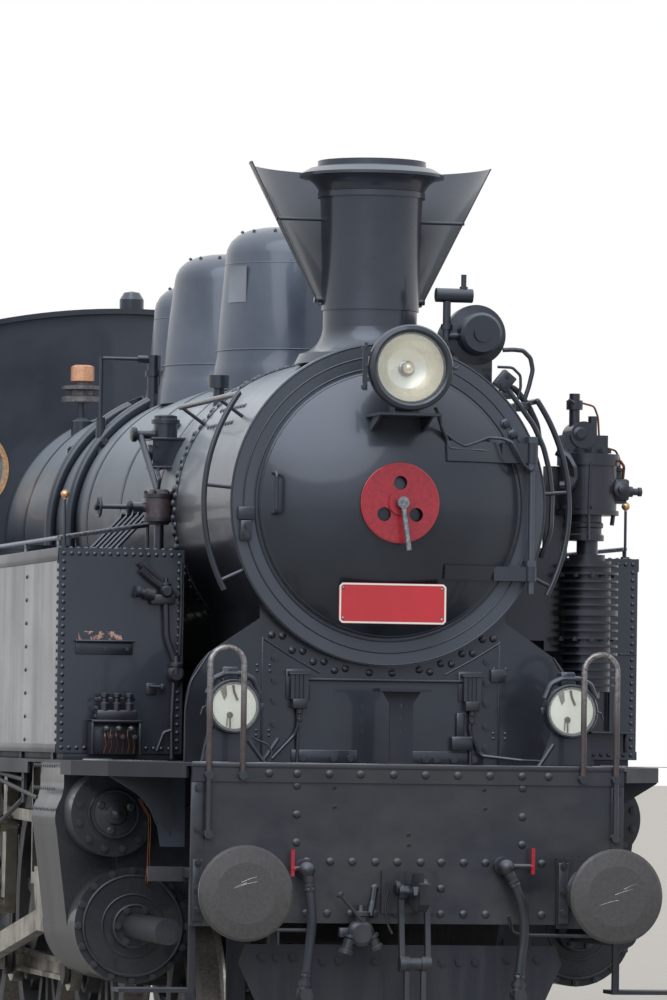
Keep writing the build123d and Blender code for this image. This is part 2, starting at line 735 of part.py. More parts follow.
def hose_couplings():
    """The coupling heads that the two hoses end in."""
    solid = Part()
    for route in hose_routes.values():
        end = route[-1]
        tip = beyond(route[-2], end, 62)
        head = pipe(28, 0, end, tip) + pipe(34, 0, beyond(route[-2], end, 8), beyond(route[-2], end, 26))
        head += Pos(*tip) * Sphere(36)
        head += block((tip[0] - 26, tip[0] + 26), (tip[1] - 62, tip[1]), (tip[2] - 34, tip[2] + 22))
        head += bar_y(30, tip[0], tip[2] - 8, (tip[1] - 74, tip[1]))
        solid += head
    return solid


pieces["buffer_beams"] = buffer_beam() + far_end(buffer_beam())
pieces["hose_front_right"] = hose("right")
pieces["hose_front_left"] = hose("left")
pieces["hose_couplings"] = hose_couplings()
pieces["buffers"] = buffer() + far_end(buffer())
pieces["draw_gear"] = draw_gear() + far_end(draw_gear())


# Footplate: the front platform, its side boards and their valances
def running_boards():
    z = (board_z - board_thick, board_z)
    back = rear_beam_y
    outline = [(-half_width, back), (half_width, back)]
    outline += [(x, y) for x, y in reversed(board_corners)]
    outline += [(-x, y) for x, y in board_corners]
    solid = plate_z(outline, z)
    inner = 640
    solid -= block((-inner, inner), (1100, cab_front_y), z)
    gusset = [(beam_half_width, z[0]), (1330, z[0]), (1330, z[0] - 60), (1180, z[0] - 150), (beam_half_width, z[0] - 340)]
    solid += both_sides(plate_y(gusset, (990, 1002)))
    for first, last in zip(board_corners, board_corners[1:]):
        if first[1] < beam_back_y:
            share = (beam_back_y - first[1]) / (last[1] - first[1])
            first = (first[0] + share * (last[0] - first[0]), beam_back_y)
        rim = [first, last, (last[0] - 12, last[1] + 5), (first[0] - 12, first[1] + 5)]
        solid += both_sides(plate_z(rim, (z[0] - 55, z[0])))
    solid += both_sides(block((half_width - 12, half_width), (board_corners[-1][1], 1680), (z[0] - 55, z[0])))
    solid += both_sides(block((half_width - 12, half_width), (2600, back), (z[0] - 55, z[0])))
    for step in range(6):
        y = tank_front_y + 193 + 900 * step
        solid += both_sides(block((tank_inner_x + 40, half_width - 20), (y, y + 60), (z[1], tank_z[0])))
    return solid + both_sides(reach_rods())


def reach_rods():
    """Oil and drain rods under the footplate's edge, behind the cylinder, on two brackets."""
    x = half_width - 28
    back, middle = casing_y[1] + 1235, casing_y[1] + 400
    gap = casing_y[1] + 3
    solid = block((x - 8, x + 8), (back - 40, back + 20), (1250, board_z - board_thick))
    solid += block((x - 8, x + 8), (middle - 30, middle + 30), (1420, board_z - board_thick))
    solid += pipe(12, 0, (x, back, 1567), (x, middle, 1534))
    solid += pipe(11, 0, (x, back, 1535), (x, gap, 1447))
    solid += pipe(12, 0, (x, back, 1284), (x, middle + 20, 1440))
    return solid


pieces["running_boards"] = running_boards()


# Boiler, smokebox and what stands on them
def smokebox():
    outer, inner = smokebox_radius, smokebox_radius - smokebox_wall
    front = smokebox_front_y
    outline = [
        (door_opening_radius, front),
        (smokebox_ring_radius, front),
        (smokebox_ring_radius, front + smokebox_ring_depth),
        (outer, front + smokebox_ring_depth),
        (outer, smokebox_back_y),
        (0, smokebox_back_y),
        (0, smokebox_back_y - 25),
        (inner, smokebox_back_y - 25),
        (inner, front + 40),
        (door_opening_radius, front + 40),
    ]
    solid = turned_y(outline, 0, boiler_z)
    solid -= bar_z(chimney_bore, 0, chimney_y, (boiler_z + 500, boiler_z + 900))
    # Post for the door's hinge, held by lugs on the front ring
    (upper, upper_half), (lower, lower_half) = door_straps
    solid += bar_z(post_radius, hinge_x, hinge_y, (lower - lower_half - 60, upper + upper_half + 30))
    for low in (upper + upper_half + 1, upper - upper_half - 31, lower + lower_half + 1):
        solid += block((hinge_x - 22, hinge_x + 22), (hinge_y - 22, front), (low, low + 30))
    return solid


def dome_sphere(grow):
    """The ball that the smokebox door's dished face is a cap of."""
    rise = door_edge_y - door_crown_y
    ball = (door_radius**2 + rise**2) / (2 * rise)
    return Pos(0, door_crown_y + ball, boiler_z) * Sphere(ball + grow)


def smokebox_door():
    rim = (door_edge_y, smokebox_front_y - seat_gap)
    reach = bar_y(door_radius, 0, boiler_z, (door_crown_y - 60, rim[1]))
    solid = (dome_sphere(0) & reach) - (dome_sphere(-door_wall) & bar_y(door_opening_radius, 0, boiler_z, (door_crown_y, rim[1])))
    solid = solid & block((-700, 700), (700, rim[1]), (boiler_z - 700, boiler_z + 700))
    # Hinge straps, proud of the dished face, with a knuckle each on the post
    shell = dome_sphere(14) - dome_sphere(-2)
    for z, half in door_straps:
        strap = shell & block((240, door_radius - 12), (door_crown_y, door_edge_y), (z - half, z + half))
        rim_x = sqrt(door_radius**2 - (z - boiler_z) ** 2)
        arm = block((rim_x - 50, hinge_x), (hinge_y - 12, hinge_y + 34), (z - half, z + half))
        strap = (strap & bar_y(door_radius, 0, boiler_z, (700, 1018))) + (arm - dome_sphere(-2))
        strap += bar_z(28, hinge_x, hinge_y, (z - half, z + half))
        strap -= bar_z(post_radius + seat_gap, hinge_x, hinge_y, (z - half, z + half))
        solid += strap
    # Round plate at the crown with three holes, on its boss, and the closing lever
    disc = bar_y(185, 0, boiler_z, (door_crown_y - 26, door_crown_y - 14))
    for angle in (90, 215, 325):
        spot = (95 * cos(radians(angle)), boiler_z + 95 * sin(radians(angle)))
        disc -= bar_y(33, *spot, (door_crown_y - 40, door_crown_y))
    solid += disc + bar_y(58, 0, boiler_z, (door_crown_y - 40, door_crown_y + 10))
    solid += bar_y(28, 0, boiler_z, (door_crown_y - 95, door_crown_y - 40))
    lever = pipe(13, 30, (0, door_crown_y - 80, boiler_z), (30, door_crown_y - 92, boiler_z - 225))
    solid += lever
    handle_x = -575
    solid += pipe(9, 20, (handle_x, 960, 3010), (handle_x, 880, 3010), (handle_x, 880, 2820), (handle_x, 960, 2820))
    return solid


def number_plate():
    y = 838
    clip = 22
    x, z = (-276, 245), (2305, 2498)
    outline = [
        (x[0] + clip, z[0]), (x[1] - clip, z[0]), (x[1], z[0] + clip), (x[1], z[1] - clip),
        (x[1] - clip, z[1]), (x[0] + clip, z[1]), (x[0], z[1] - clip), (x[0], z[0] + clip),
    ]
    solid = plate_y(outline, (y, y + 8))
    for foot in (-180, 150):
        solid += block((foot - 15, foot + 15), (y + 8, y + 90), (z[1] - 60, z[1] - 30)) - dome_sphere(seat_gap)
    return solid


def saddle():
    """The smokebox's seat on the frame, with the front apron, its curved wings and two oil boxes."""
    front = 1105
    body = block((-560, 560), (front + 15, 2450), (frame_top_z, boiler_z - 370))
    half, knee, shoulder = 954, 1890, (840, 2162)
    with BuildPart() as part:
        with BuildSketch(Plane(origin=(0, front, 0), x_dir=(1, 0, 0), z_dir=(0, -1, 0))):
            with BuildLine():
                Polyline((-half, knee), (-half, board_z), (half, board_z), (half, knee))
                ThreePointArc((half, knee), (925, 2042), shoulder)
                Polyline(shoulder, (600, 2325), (600, 2480), (-600, 2480), (-600, 2325), (-shoulder[0], shoulder[1]))
                ThreePointArc((-shoulder[0], shoulder[1]), (-925, 2042), (-half, knee))
            make_face()
        extrude(amount=15, dir=(0, 1, 0))
    body += part.part
    for x in ((-455, -370), (390, 475)):
        middle = sum(x) / 2
        body += block(x, (front - 52, front), (1945, 2062))
        body += block((x[0] - 10, x[1] + 10), (front - 58, front), (2062, 2077))
        body += bar_z(8, middle, front - 18, (board_z + seat_gap, 1945))
    body += bar_x(7, front - 16, 2040, (-380, 400))
    body -= bar_y(smokebox_radius + seat_gap, 0, boiler_z, (900, 2600))
    body -= bar_y(smokebox_ring_radius + seat_gap, 0, boiler_z, (900, smokebox_front_y + smokebox_ring_depth + seat_gap))
    return body


def boiler():
    solid = bar_y(boiler_radius, 0, boiler_z, (smokebox_back_y, cab_front_y - seat_gap))
    return solid


def firebox():
    half = frame_x - 40
    ashpan = spring_x[0] - 20
    low, high = main_y + 150, driving_axle_y["rear"] - 150
    solid = block((-ashpan, ashpan), (low, high), (560, 1500))
    solid += block((-half, half), (firebox_front_y, cab_front_y - seat_gap), (1500, 2600))
    solid -= bar_y(boiler_radius + seat_gap, 0, boiler_z, (firebox_front_y - 10, cab_front_y))
    return solid


def chimney():
    """A tapered barrel in a sleeve, with a flared foot, a band and a coved rim."""
    shell = boiler_z + smokebox_radius
    foot = (chimney_radius + 112, shell - 10)
    neck = (chimney_radius, shell + 118)
    low, high = (sleeve_radius, sleeve_z[0]), (sleeve_top_radius, sleeve_z[1])
    cove = (band_radius - 6, band_z[1])
    rim = (chimney_rim_radius, chimney_rim_z - 8)
    lip = sleeve_top_radius + 14
    with BuildPart() as part:
        with BuildSketch(Plane(origin=(0, chimney_y, 0), x_dir=(1, 0, 0), z_dir=(0, -1, 0))):
            with BuildLine():
                Polyline((chimney_bore, shell - 60), (chimney_radius + 137, shell - 60), foot)
                ThreePointArc(foot, (chimney_radius + 34, shell + 34), neck)
                Polyline(neck, (chimney_radius, sleeve_z[0]), low)
                ThreePointArc(low, (sleeve_radius + 2, sum(sleeve_z) / 2), high)
                Polyline(high, (band_radius, band_z[0]), (band_radius, band_z[1]), cove)
                ThreePointArc(cove, (cove[0] + 34, cove[1] + 50), rim)
                Polyline(
                    rim, (chimney_rim_radius, chimney_rim_z + 6), (lip + 40, chimney_rim_z + 34),
                    (lip, chimney_rim_z + 42), (lip, chimney_top_z), (chimney_bore + 20, chimney_top_z),
                    (chimney_bore, chimney_top_z - 40), (chimney_bore, shell - 60),
                )
            make_face()
        revolve(axis=Axis((0, chimney_y, 0), (0, 0, 1)))
    return part.part - bar_y(smokebox_radius + seat_gap, 0, boiler_z, (chimney_y - 600, chimney_y + 600))


def chimney_wings():
    """Two curved plates that open upwards behind the chimney, to lift the smoke."""
    low, high = sleeve_z[0] + 28, chimney_top_z - 12
    near, far = sleeve_radius + 13, 590
    slope = (far - near) / (high - low)
    plane = Plane(origin=(0, chimney_y, 0), x_dir=(1, 0, 0), z_dir=(0, -1, 0))
    sheet = Polygon((near, low), (near + wing_thick, low), (far + wing_thick, high), (far, high), align=None)
    wing = revolve(plane * sheet, Axis((0, chimney_y, 0), (0, 0, 1)), revolution_arc=wing_arc)
    for z, radius, inner in ((low + 25, 14, sleeve_radius + 0.5), (4262, 8, sleeve_radius + 8)):
        wing += bar_x(radius, chimney_y + 16, z, (inner, near + slope * (z - low) + 12))
    return both_sides(wing)


def dome(y, foot, shoulder, top):
    low = boiler_z + 560
    edge = 110
    with BuildPart() as part:
        with BuildSketch(Plane(origin=(0, y, 0), x_dir=(1, 0, 0), z_dir=(0, -1, 0))):
            with BuildLine():
                Polyline((0, low), (foot + 45, low), (foot + 12, boiler_z + boiler_radius + 15), (foot, boiler_z + boiler_radius + 60))
                Line((foot, boiler_z + boiler_radius + 60), (shoulder, top - edge - 25))
                ThreePointArc((shoulder, top - edge - 25), (shoulder - 0.3 * edge, top - 45), (shoulder - edge, top - 12))
                Line((shoulder - edge, top - 12), (0, top))
                Line((0, top), (0, low))
            make_face()
        revolve(axis=Axis((0, y, 0), (0, 0, 1)))
    solid = part.part - bar_y(boiler_radius + seat_gap, 0, boiler_z, (y - 600, y + 600))
    return solid


def shell_z(x, radius=boiler_radius):
    """The height of the boiler's top surface at one x."""
    return boiler_z + sqrt(radius**2 - x**2)


def boiler_fittings():
    """Feed pipes bent round the boiler, valves, the safety valve and the washout rods, on the right."""
    hug = boiler_radius + 30 + seat_gap
    fittings = Part()
    # Two thick pipes from the top down to the tank's side
    valve_y = main_y - 440
    for y in (valve_y, main_y + 170):
        fittings += ring_pipe(30, hug, y, 112, 180)
        fittings += bar_z(30, -hug, y, (2560, boiler_z))
        fittings += stanchion(46, y, 112, (boiler_radius, hug + 30))
    # Valve column with its thin pipe and boss
    column_x, boss_x = -312, -600
    fittings += bar_z(36, column_x, valve_y, (shell_z(column_x) - 40, 3813))
    fittings += bar_z(48, column_x, valve_y, (3700, 3730)) + bar_x(20, valve_y, 3790, (column_x - 90, column_x))
    fittings += bar_x(10, valve_y, 3790, (boss_x, column_x)) + bar_z(10, boss_x, valve_y, (3400, 3800))
    fittings += bar_z(26, boss_x, valve_y, (shell_z(boss_x) - 40, 3470))
    # Safety valve before the cab
    safety = shell_z(-401)
    fittings += turned_z(
        [
            (0, safety - 60), (60, safety - 60), (60, safety + 40), (24, safety + 60), (24, 3635), (118, 3635),
            (118, 3665), (70, 3675), (70, 3700), (118, 3706), (118, 3725), (40, 3735), (40, 3747), (67, 3755),
            (67, 3835), (50, 3845), (0, 3845),
        ],
        -401,
        cab_front_y - 600,
    )
    # Clack valve beside the boiler, with its spindle and handle
    clack_x, clack_y = -800, smokebox_back_y + 80
    fittings += turned_z(
        [(0, 2810), (50, 2810), (70, 2830), (70, 2960), (45, 2985), (0, 2985)], clack_x, clack_y
    )
    fittings += bar_z(24, clack_x + 5, clack_y, (2600, 2815))
    fittings += bar_x(12, clack_y, 2895, (-1110, clack_x)) + bar_x(24, clack_y, 2895, (-930, clack_x))
    fittings += bar_y(8, -1098, 2895, (clack_y - 50, clack_y + 50)) + bar_z(8, -1098, clack_y, (2845, 2945))
    # Feed valve higher up, and the pipe between the two
    feed_y = smokebox_back_y + 360
    fittings += block((-790, -600), (feed_y - 60, feed_y + 60), (3110, 3245))
    fittings += bar_z(60, -715, feed_y, (3240, 3335)) + bar_z(30, -715, feed_y, (3330, 3362))
    fittings += bar_x(22, feed_y, 3270, (-865, -715))
    fittings += pipe(17, 0, (-845, feed_y, 3270), (clack_x, clack_y + 20, 2970))
    # Six washout rods that slope down to the tank's top
    for step in range(6):
        y = smokebox_back_y + 440 + 160 * step
        fittings += bar_x(17, y, boiler_z + 19, (-772, -700))
        fittings += pipe(9, 0, (-756, y, boiler_z + 19), (-965, y, tank_z[1] + 12))
        fittings += bar_z(14, -965, y, (tank_z[1] + seat_gap, tank_z[1] + 26))
    fittings += bar_z(28, -470, smokebox_back_y + 240, (shell_z(-470) - 30, 3510))
    fittings += bar_z(52, -470, smokebox_back_y + 240, (3505, 3570))
    reach = (smokebox_back_y, cab_front_y)
    return fittings - bar_y(boiler_radius + seat_gap, 0, boiler_z, reach)


pieces["smokebox"] = smokebox()
pieces["smokebox_door"] = smokebox_door()
pieces["number_plate"] = number_plate()
pieces["saddle"] = saddle()
pieces["boiler"] = boiler()
pieces["boiler_fittings"] = boiler_fittings()
pieces["firebox"] = firebox()
pieces["chimney"] = chimney()
pieces["chimney_wings"] = chimney_wings()
for name, sizes in domes.items():
    pieces[f"dome_{name}"] = dome(*sizes)


# Side tanks with their filler lids
def side_tank():
    solid = block((tank_inner_x, half_width), (tank_front_y, cab_front_y), tank_z)
    solid += bar_z(lid_radius - 12, tank_lid_x, tank_lid_y, (tank_z[1], tank_z[1] + collar_height))
    # Lugs and pin of the lid's hinge
    solid += bar_y(lid_pin_radius, lid_hinge_x, lid_hinge_z, (tank_lid_y - 46, tank_lid_y + 46))
    for y in (tank_lid_y - 46, tank_lid_y + 31):
        solid += block((lid_hinge_x - 14, lid_hinge_x + 14), (y, y + 15), (tank_z[1], lid_hinge_z + 12))
    # Rod with a ball that marks the tank's corner for the driver
    corner = (half_width - 41, tank_front_y + 93)
    solid += bar_z(7, *corner, (tank_z[1], tank_z[1] + 260)) + bar_z(22, *corner, (tank_z[1], tank_z[1] + 12))
    solid += Pos(*corner, tank_z[1] + 262) * Sphere(21)
    return solid


def tank_lid():
    z = tank_z[1] + collar_height + seat_gap
    strap = (tank_lid_y - 30, tank_lid_y + 30)
    solid = bar_z(lid_radius, tank_lid_x, tank_lid_y, (z, z + 22))
    solid += block((lid_hinge_x, tank_lid_x), strap, (z + 20, z + 30))
    solid += bar_y(14, lid_hinge_x, lid_hinge_z, strap)
    solid -= bar_y(lid_pin_radius + seat_gap, lid_hinge_x, lid_hinge_z, strap)
    return solid


pieces["side_tanks"] = both_sides(side_tank())
pieces["tank_lid_left"] = tank_lid()
pieces["tank_lid_right"] = other_side(tank_lid())


# Cab
def roof_z(x, radius=roof_radius):
    return roof_crown_z - roof_radius + sqrt(radius**2 - x**2)


def cab_sheet(low):
    """The outline of the cab's front and back sheets, up to the roof's underside."""
    under = roof_radius - roof_thick
    shape = Pos(0, 0, 0) * block((-half_width + cab_wall, half_width - cab_wall), (0, cab_wall), (low, roof_crown_z))
    shape &= bar_y(under, 0, roof_crown_z - roof_radius, (0, cab_wall))
    return shape


def window_rims(y):
    """Rings round the two end windows, between two y values."""
    solid = Part()
    for x in (-cab_window_x, cab_window_x):
        solid += bar_y(window_radius + 30, x, 0, y) - bar_y(window_radius, x, 0, y)
    return solid


def cab_front():
    solid = Pos(0, cab_front_y, 0) * cab_sheet(floor_z)
    for x in (-cab_window_x, cab_window_x):
        solid -= bar_y(window_radius, x, cab_window_z, (cab_front_y, cab_front_y + cab_wall))
    return solid + Pos(0, 0, cab_window_z) * window_rims((cab_front_y - 12, cab_front_y))


def cab_back():
    solid = Pos(0, cab_back_y, 0) * cab_sheet(floor_z)
    for x in (-cab_window_x, cab_window_x):
        solid -= bar_y(window_radius, x, cab_window_z + 150, (cab_back_y, cab_back_y + cab_wall))
    back = cab_back_y + cab_wall
    return solid + Pos(0, 0, cab_window_z + 150) * window_rims((back, back + 12))


def cab_glass():
    """The four round panes, in the middle of their sheets."""
    solid = Part()
    for y, z in ((cab_front_y, cab_window_z), (cab_back_y, cab_window_z + 150)):
        solid += bar_y(window_radius - seat_gap, cab_window_x, z, (y + 10, y + 16))
    return both_sides(solid)


def cab_fittings():
    """The backhead that closes the boiler inside the cab, with its firehole door, regulator and gauges."""
    head, face = cab_front_y + cab_wall + seat_gap, cab_front_y + 300
    rim = 640
    solid = turned_y([(0, head), (rim, head), (rim, face - 60), (rim - 60, face), (0, face)], 0, boiler_z)
    solid += block((-rim, rim), (head, face - 30), (floor_z + seat_gap, boiler_z))
    solid += bar_y(190, 0, boiler_z - 480, (face - 40, face + 18))
    solid += block((-200, 200), (face - 40, face + 40), (boiler_z - 502, boiler_z - 458))
    # Regulator's handle over its stuffing box
    solid += bar_y(55, 0, boiler_z + 260, (face - 20, face + 60))
    solid += eye_y((0, boiler_z + 260), (300, boiler_z + 130), 40, 22, 34, (face + 40, face + 58))
    # Two water gauges, two dials and the injector's steam valves
    for x in (-330, 330):
        solid += bar_z(14, x, face + 55, (boiler_z - 60, boiler_z + 180))
        for z in (boiler_z - 60, boiler_z + 180):
            solid += block((x - 22, x + 22), (face - 20, face + 75), (z - 20, z + 20))
    for x in (-150, 150):
        solid += bar_y(85, x, boiler_z + 470, (face - 80, face + 30))
        solid += bar_y(14, x * 2.6, boiler_z + 300, (face - 40, face + 110))
        solid += bar_y(52, x * 2.6, boiler_z + 300, (face + 85, face + 100))
    return solid


def cab_side():
    x = (half_width - cab_wall, half_width)
    top = roof_z(half_width) - roof_thick - 5
    solid = block(x, (cab_front_y, cab_back_y + cab_wall), (board_z, top))
    solid -= block(x, doorway_y, (floor_z, top - 250))
    solid -= block(x, (cab_front_y + 200, doorway_y[0] - 120), (2800, top - 250))
    for z in cab_hinges_z:
        solid += bar_z(cab_pin_radius, cab_hinge_x, cab_hinge_y, (z - 15, z + cab_hinge_height + 15))
        for low in (z - 15, z + cab_hinge_height + seat_gap):
            lug = (low, low + 15 - seat_gap)
            solid += block((cab_hinge_x - 11, x[0]), (cab_hinge_y - 50, cab_hinge_y), lug)
            solid += bar_z(11, cab_hinge_x, cab_hinge_y, lug)
    return solid


def cab_roof():
    span = (cab_front_y - 60, cab_back_y + cab_wall + 250)
    centre = roof_crown_z - roof_radius
    solid = bar_y(roof_radius, 0, centre, span) - bar_y(roof_radius - roof_thick, 0, centre, span)
    solid &= block((-half_width - 25, half_width + 25), span, (3000, roof_crown_z))
    solid += turned_z([(0, roof_crown_z - 20), (70, roof_crown_z - 20), (70, roof_crown_z + 60), (45, roof_crown_z + 100), (0, roof_crown_z + 110)], 0, cab_front_y + 60)
    return solid


def cab_floor():
    inner = half_width - cab_wall
    return block((-inner, inner), (cab_front_y + cab_wall, cab_back_y), (floor_z - 30, floor_z))


def cab_door():
    """A half-height door that hangs at the doorway's front post and opens inwards."""
    x = (half_width - cab_wall, half_width)
    y = (doorway_y[0] + door_gap, doorway_y[1] - door_gap)
    solid = block(x, y, (floor_z + door_gap, floor_z + 950))
    for z in cab_hinges_z:
        knuckle = (z, z + cab_hinge_height)
        solid += block((cab_hinge_x, x[0]), (cab_hinge_y, cab_hinge_y + 40), knuckle)
        solid += bar_z(11, cab_hinge_x, cab_hinge_y, knuckle)
        solid -= bar_z(cab_pin_radius + seat_gap, cab_hinge_x, cab_hinge_y, knuckle)
    return solid


pieces["cab_front"] = cab_front()
pieces["cab_back"] = cab_back()
pieces["cab_sides"] = both_sides(cab_side())
pieces["cab_roof"] = cab_roof()
pieces["cab_floor"] = cab_floor()
pieces["cab_glass"] = cab_glass()
pieces["cab_fittings"] = cab_fittings()
pieces["cab_door_left"] = cab_door()
pieces["cab_door_right"] = other_side(cab_door())


def coal_bunker():
    """Rear tank with the coal space on top, open upwards, and a ladder behind."""
    front = cab_back_y + cab_wall
    solid = block((-half_width, half_width), (front, bunker_back_y), (board_z, bunker_z))
    solid -= block((-half_width + 40, half_width - 40), (front + 40, bunker_back_y - 40), (bunker_floor_z, bunker_z))
    ladder_x, ladder_y = (-180, 180), bunker_back_y + 70
    for x in ladder_x:
        for low in (board_z + 120, bunker_z - 120):
            solid += block((x - 18, x + 18), (bunker_back_y, ladder_y), (low, low + 14))
        solid += bar_z(13, x, ladder_y, (board_z + 100, bunker_z - 40))
    for step in range(4):
        solid += bar_x(11, ladder_y, board_z + 240 + 300 * step, ladder_x)
    return solid


pieces["coal_bunker"] = coal_bunker()


# Lamps, generator and air pump
def headlamp():
    """A drum with a dished reflector, a hinged front ring and its bracket on the door."""
    x, y, z = 0, 598, 3506
    glass, ring, drum, depth = 158, 188, 178, 110
    body = turned_y(
        [
            (0, y), (glass, y), (glass, y - 8), (ring, y - 8), (ring, y + 40), (drum, y + 50),
            (drum, y + 130), (120, y + 215), (0, y + 230),
        ],
        x,
        z,
    )
    ball = (glass**2 + depth**2) / (2 * depth)
    body -= Pos(x, y + depth - ball, z) * Sphere(ball)
    body += bar_y(12, x, z, (y + 45, y + depth + 20)) + Pos(x, y + 45, z) * Sphere(26)
    # Hinge of the front ring on one side, its catch on the other
    body += block((x - ring - 38, x - ring - 20), (y - 2, y + 16), (z - 112, z + 112))
    for low in (z - 70, z + 50):
        body += block((x - ring - 24, x - ring + 20), (y - 2, y + 16), (low, low + 20))
    body += block((x + ring - 12, x + ring + 26), (y - 2, y + 18), (z - 10, z + 10))
    shelf = block((-150, 150), (y - 20, door_edge_y), (z - 225, z - 213))
    shelf += block((-60, 60), (y + 60, y + 180), (z - 213, z - 165))
    for side in (-130, 118):
        shelf += plate_x([(door_edge_y, z - 213), (y + 60, z - 225), (door_edge_y, z - 330)], (side, side + 12))
    shelf -= dome_sphere(seat_gap)
    return body + shelf


def front_lamp():
    x, y, z = 813, 640, 1904
    solid = turned_y([(0, y + 8), (100, y + 8), (104, y), (125, y), (125, y + 30), (118, y + 110), (70, y + 150), (0, y + 150)], x, z)
    solid += bar_z(35, x, y + 80, (z + 105, z + 165))
    solid += plate_y([(x - 75, board_z), (x + 75, board_z), (x + 50, z - 60), (x - 50, z - 60)], (y + 60, y + 90))
    return solid


def turbo_generator():
    """The turbine's drum and the dynamo behind it, on a cast seat, with the exhaust and its silencer."""
    x, y, z = 475, 1130, 3710
    pipe_y = y + 90
    solid = turned_y(
        [
            (0, y), (88, y), (102, y + 14), (102, y + 110), (145, y + 118), (145, y + 178),
            (118, y + 190), (112, y + 470), (0, y + 470),
        ],
        x,
        z,
    )
    solid += bar_y(40, x, z, (y - 16, y))
    solid += bar_x(16, pipe_y, z - 10, (x - 155, x - 60))
    solid += bar_z(19, x - 155, pipe_y, (z - 30, z + 165)) + bar_z(28, x - 155, pipe_y, (z + 20, z + 45))
    solid += bar_x(34, pipe_y, z + 185, (x - 210, x - 31))
    solid += bar_z(13, x - 73, pipe_y, (z + 205, z + 286)) + bar_z(20, x - 73, pipe_y, (z + 212, z + 228))
    seat = block((x - 80, x + 80), (y + 120, y + 430), (boiler_z + 560, z - 60))
    solid += seat - bar_y(smokebox_radius + seat_gap, 0, boiler_z, (y, y + 600))
    return solid


def air_pump():
    """The two-stage air pump: its valve chest, the steam cylinder, two finned air cylinders."""
    x, y = 1105, 1500
    steam, air, fin = 140, 118, 154
    solid = Part()
    levels = [
        # (radius, low z, high z)
        (steam, 2862, 3125), (steam + 12, 2862, 2884), (steam + 12, 3103, 3158), (52, 2640, 2862),
        (88, 2640, 2670), (air, 2390, 2640), (fin, 2372, 2400), (air, 2005, 2372), (70, 1975, 2005),
    ]
    for radius, low, high in levels:
        solid += bar_z(radius, x, y, (low, high))
    for low in [2420 + 38 * step for step in range(6)] + [2030 + 38 * step for step in range(9)]:
        solid += bar_z(fin, x, y, (low, low + 12))
    # Valve chest with its drum, the feed's union and a small cap
    solid += block((x - 140, x + 80), (y - 70, y + 70), (3158, 3250))
    solid += bar_y(66, x - 45, 3250, (y - 85, y + 85))
    solid += bar_z(26, x - 72, y, (3290, 3453)) + bar_z(40, x - 72, y, (3375, 3420))
    solid += bar_z(22, x + 20, y, (3250, 3345))
    # Governor at the side
    solid += block((x + 96, x + 185), (y - 40, y + 40), (2922, 3042))
    solid += bar_x(24, y, 2983, (x + 185, x + 223)) + bar_z(16, x + 140, y, (3042, 3120))
    # Bracket on the smokebox
    solid += block((x - 200, x - 90), (y + 40, y + 100), (2200, 3100))
    arm = block((700, x - 100), (y + 40, y + 70), (2250, 2700))
    return solid + arm - bar_y(smokebox_radius + seat_gap, 0, boiler_z, (y, y + 300))


pieces["headlamp"] = headlamp()
pieces["marker_lamps"] = both_sides(front_lamp())
pieces["marker_lamps"] += far_end(pieces["marker_lamps"])
pieces["turbo_generator"] = turbo_generator()
pieces["air_pump"] = air_pump()


# Steps and handrails
def steps():
    """Front steps below the beam's ends, the step on the platform and the cab's steps."""
    reach = half_width - 83
    side = block((beam_half_width - 32, beam_half_width - 2), (beam_back_y, beam_back_y + 30), (575, beam_z[0] + 200))
    side += block((beam_half_width - 32, reach), (beam_back_y, beam_back_y + 180), (575, 593))
    # Step on the platform, on a pierced stem
    stem_y, tread_z = (690, 702), 1985
    low = board_z + seat_gap
    stem = plate_y([(-56, low), (56, low), (56, 1930), (92, tread_z), (-92, tread_z), (-56, 1930)], stem_y)
    for x, z in ((0, 1800), (0, 1860), (0, 1920)):
        stem -= bar_y(9, x, z, stem_y)
    stem += block((-75, 75), (660, 732), (low, low + 10)) + block((-125, 125), (600, 760), (tread_z, tread_z + 14))
    near = half_width - 40
    cab = block((near, near + 20), doorway_y, (500, board_z - board_thick))
    cab -= block((near, near + 20), (doorway_y[0] + 50, doorway_y[1] - 50), (560, board_z - 160))
    for z in (520, 900, 1260):
        cab += block((near - 110, near + 30), doorway_y, (z, z + 20))
    return both_sides(side) + stem + both_sides(cab)


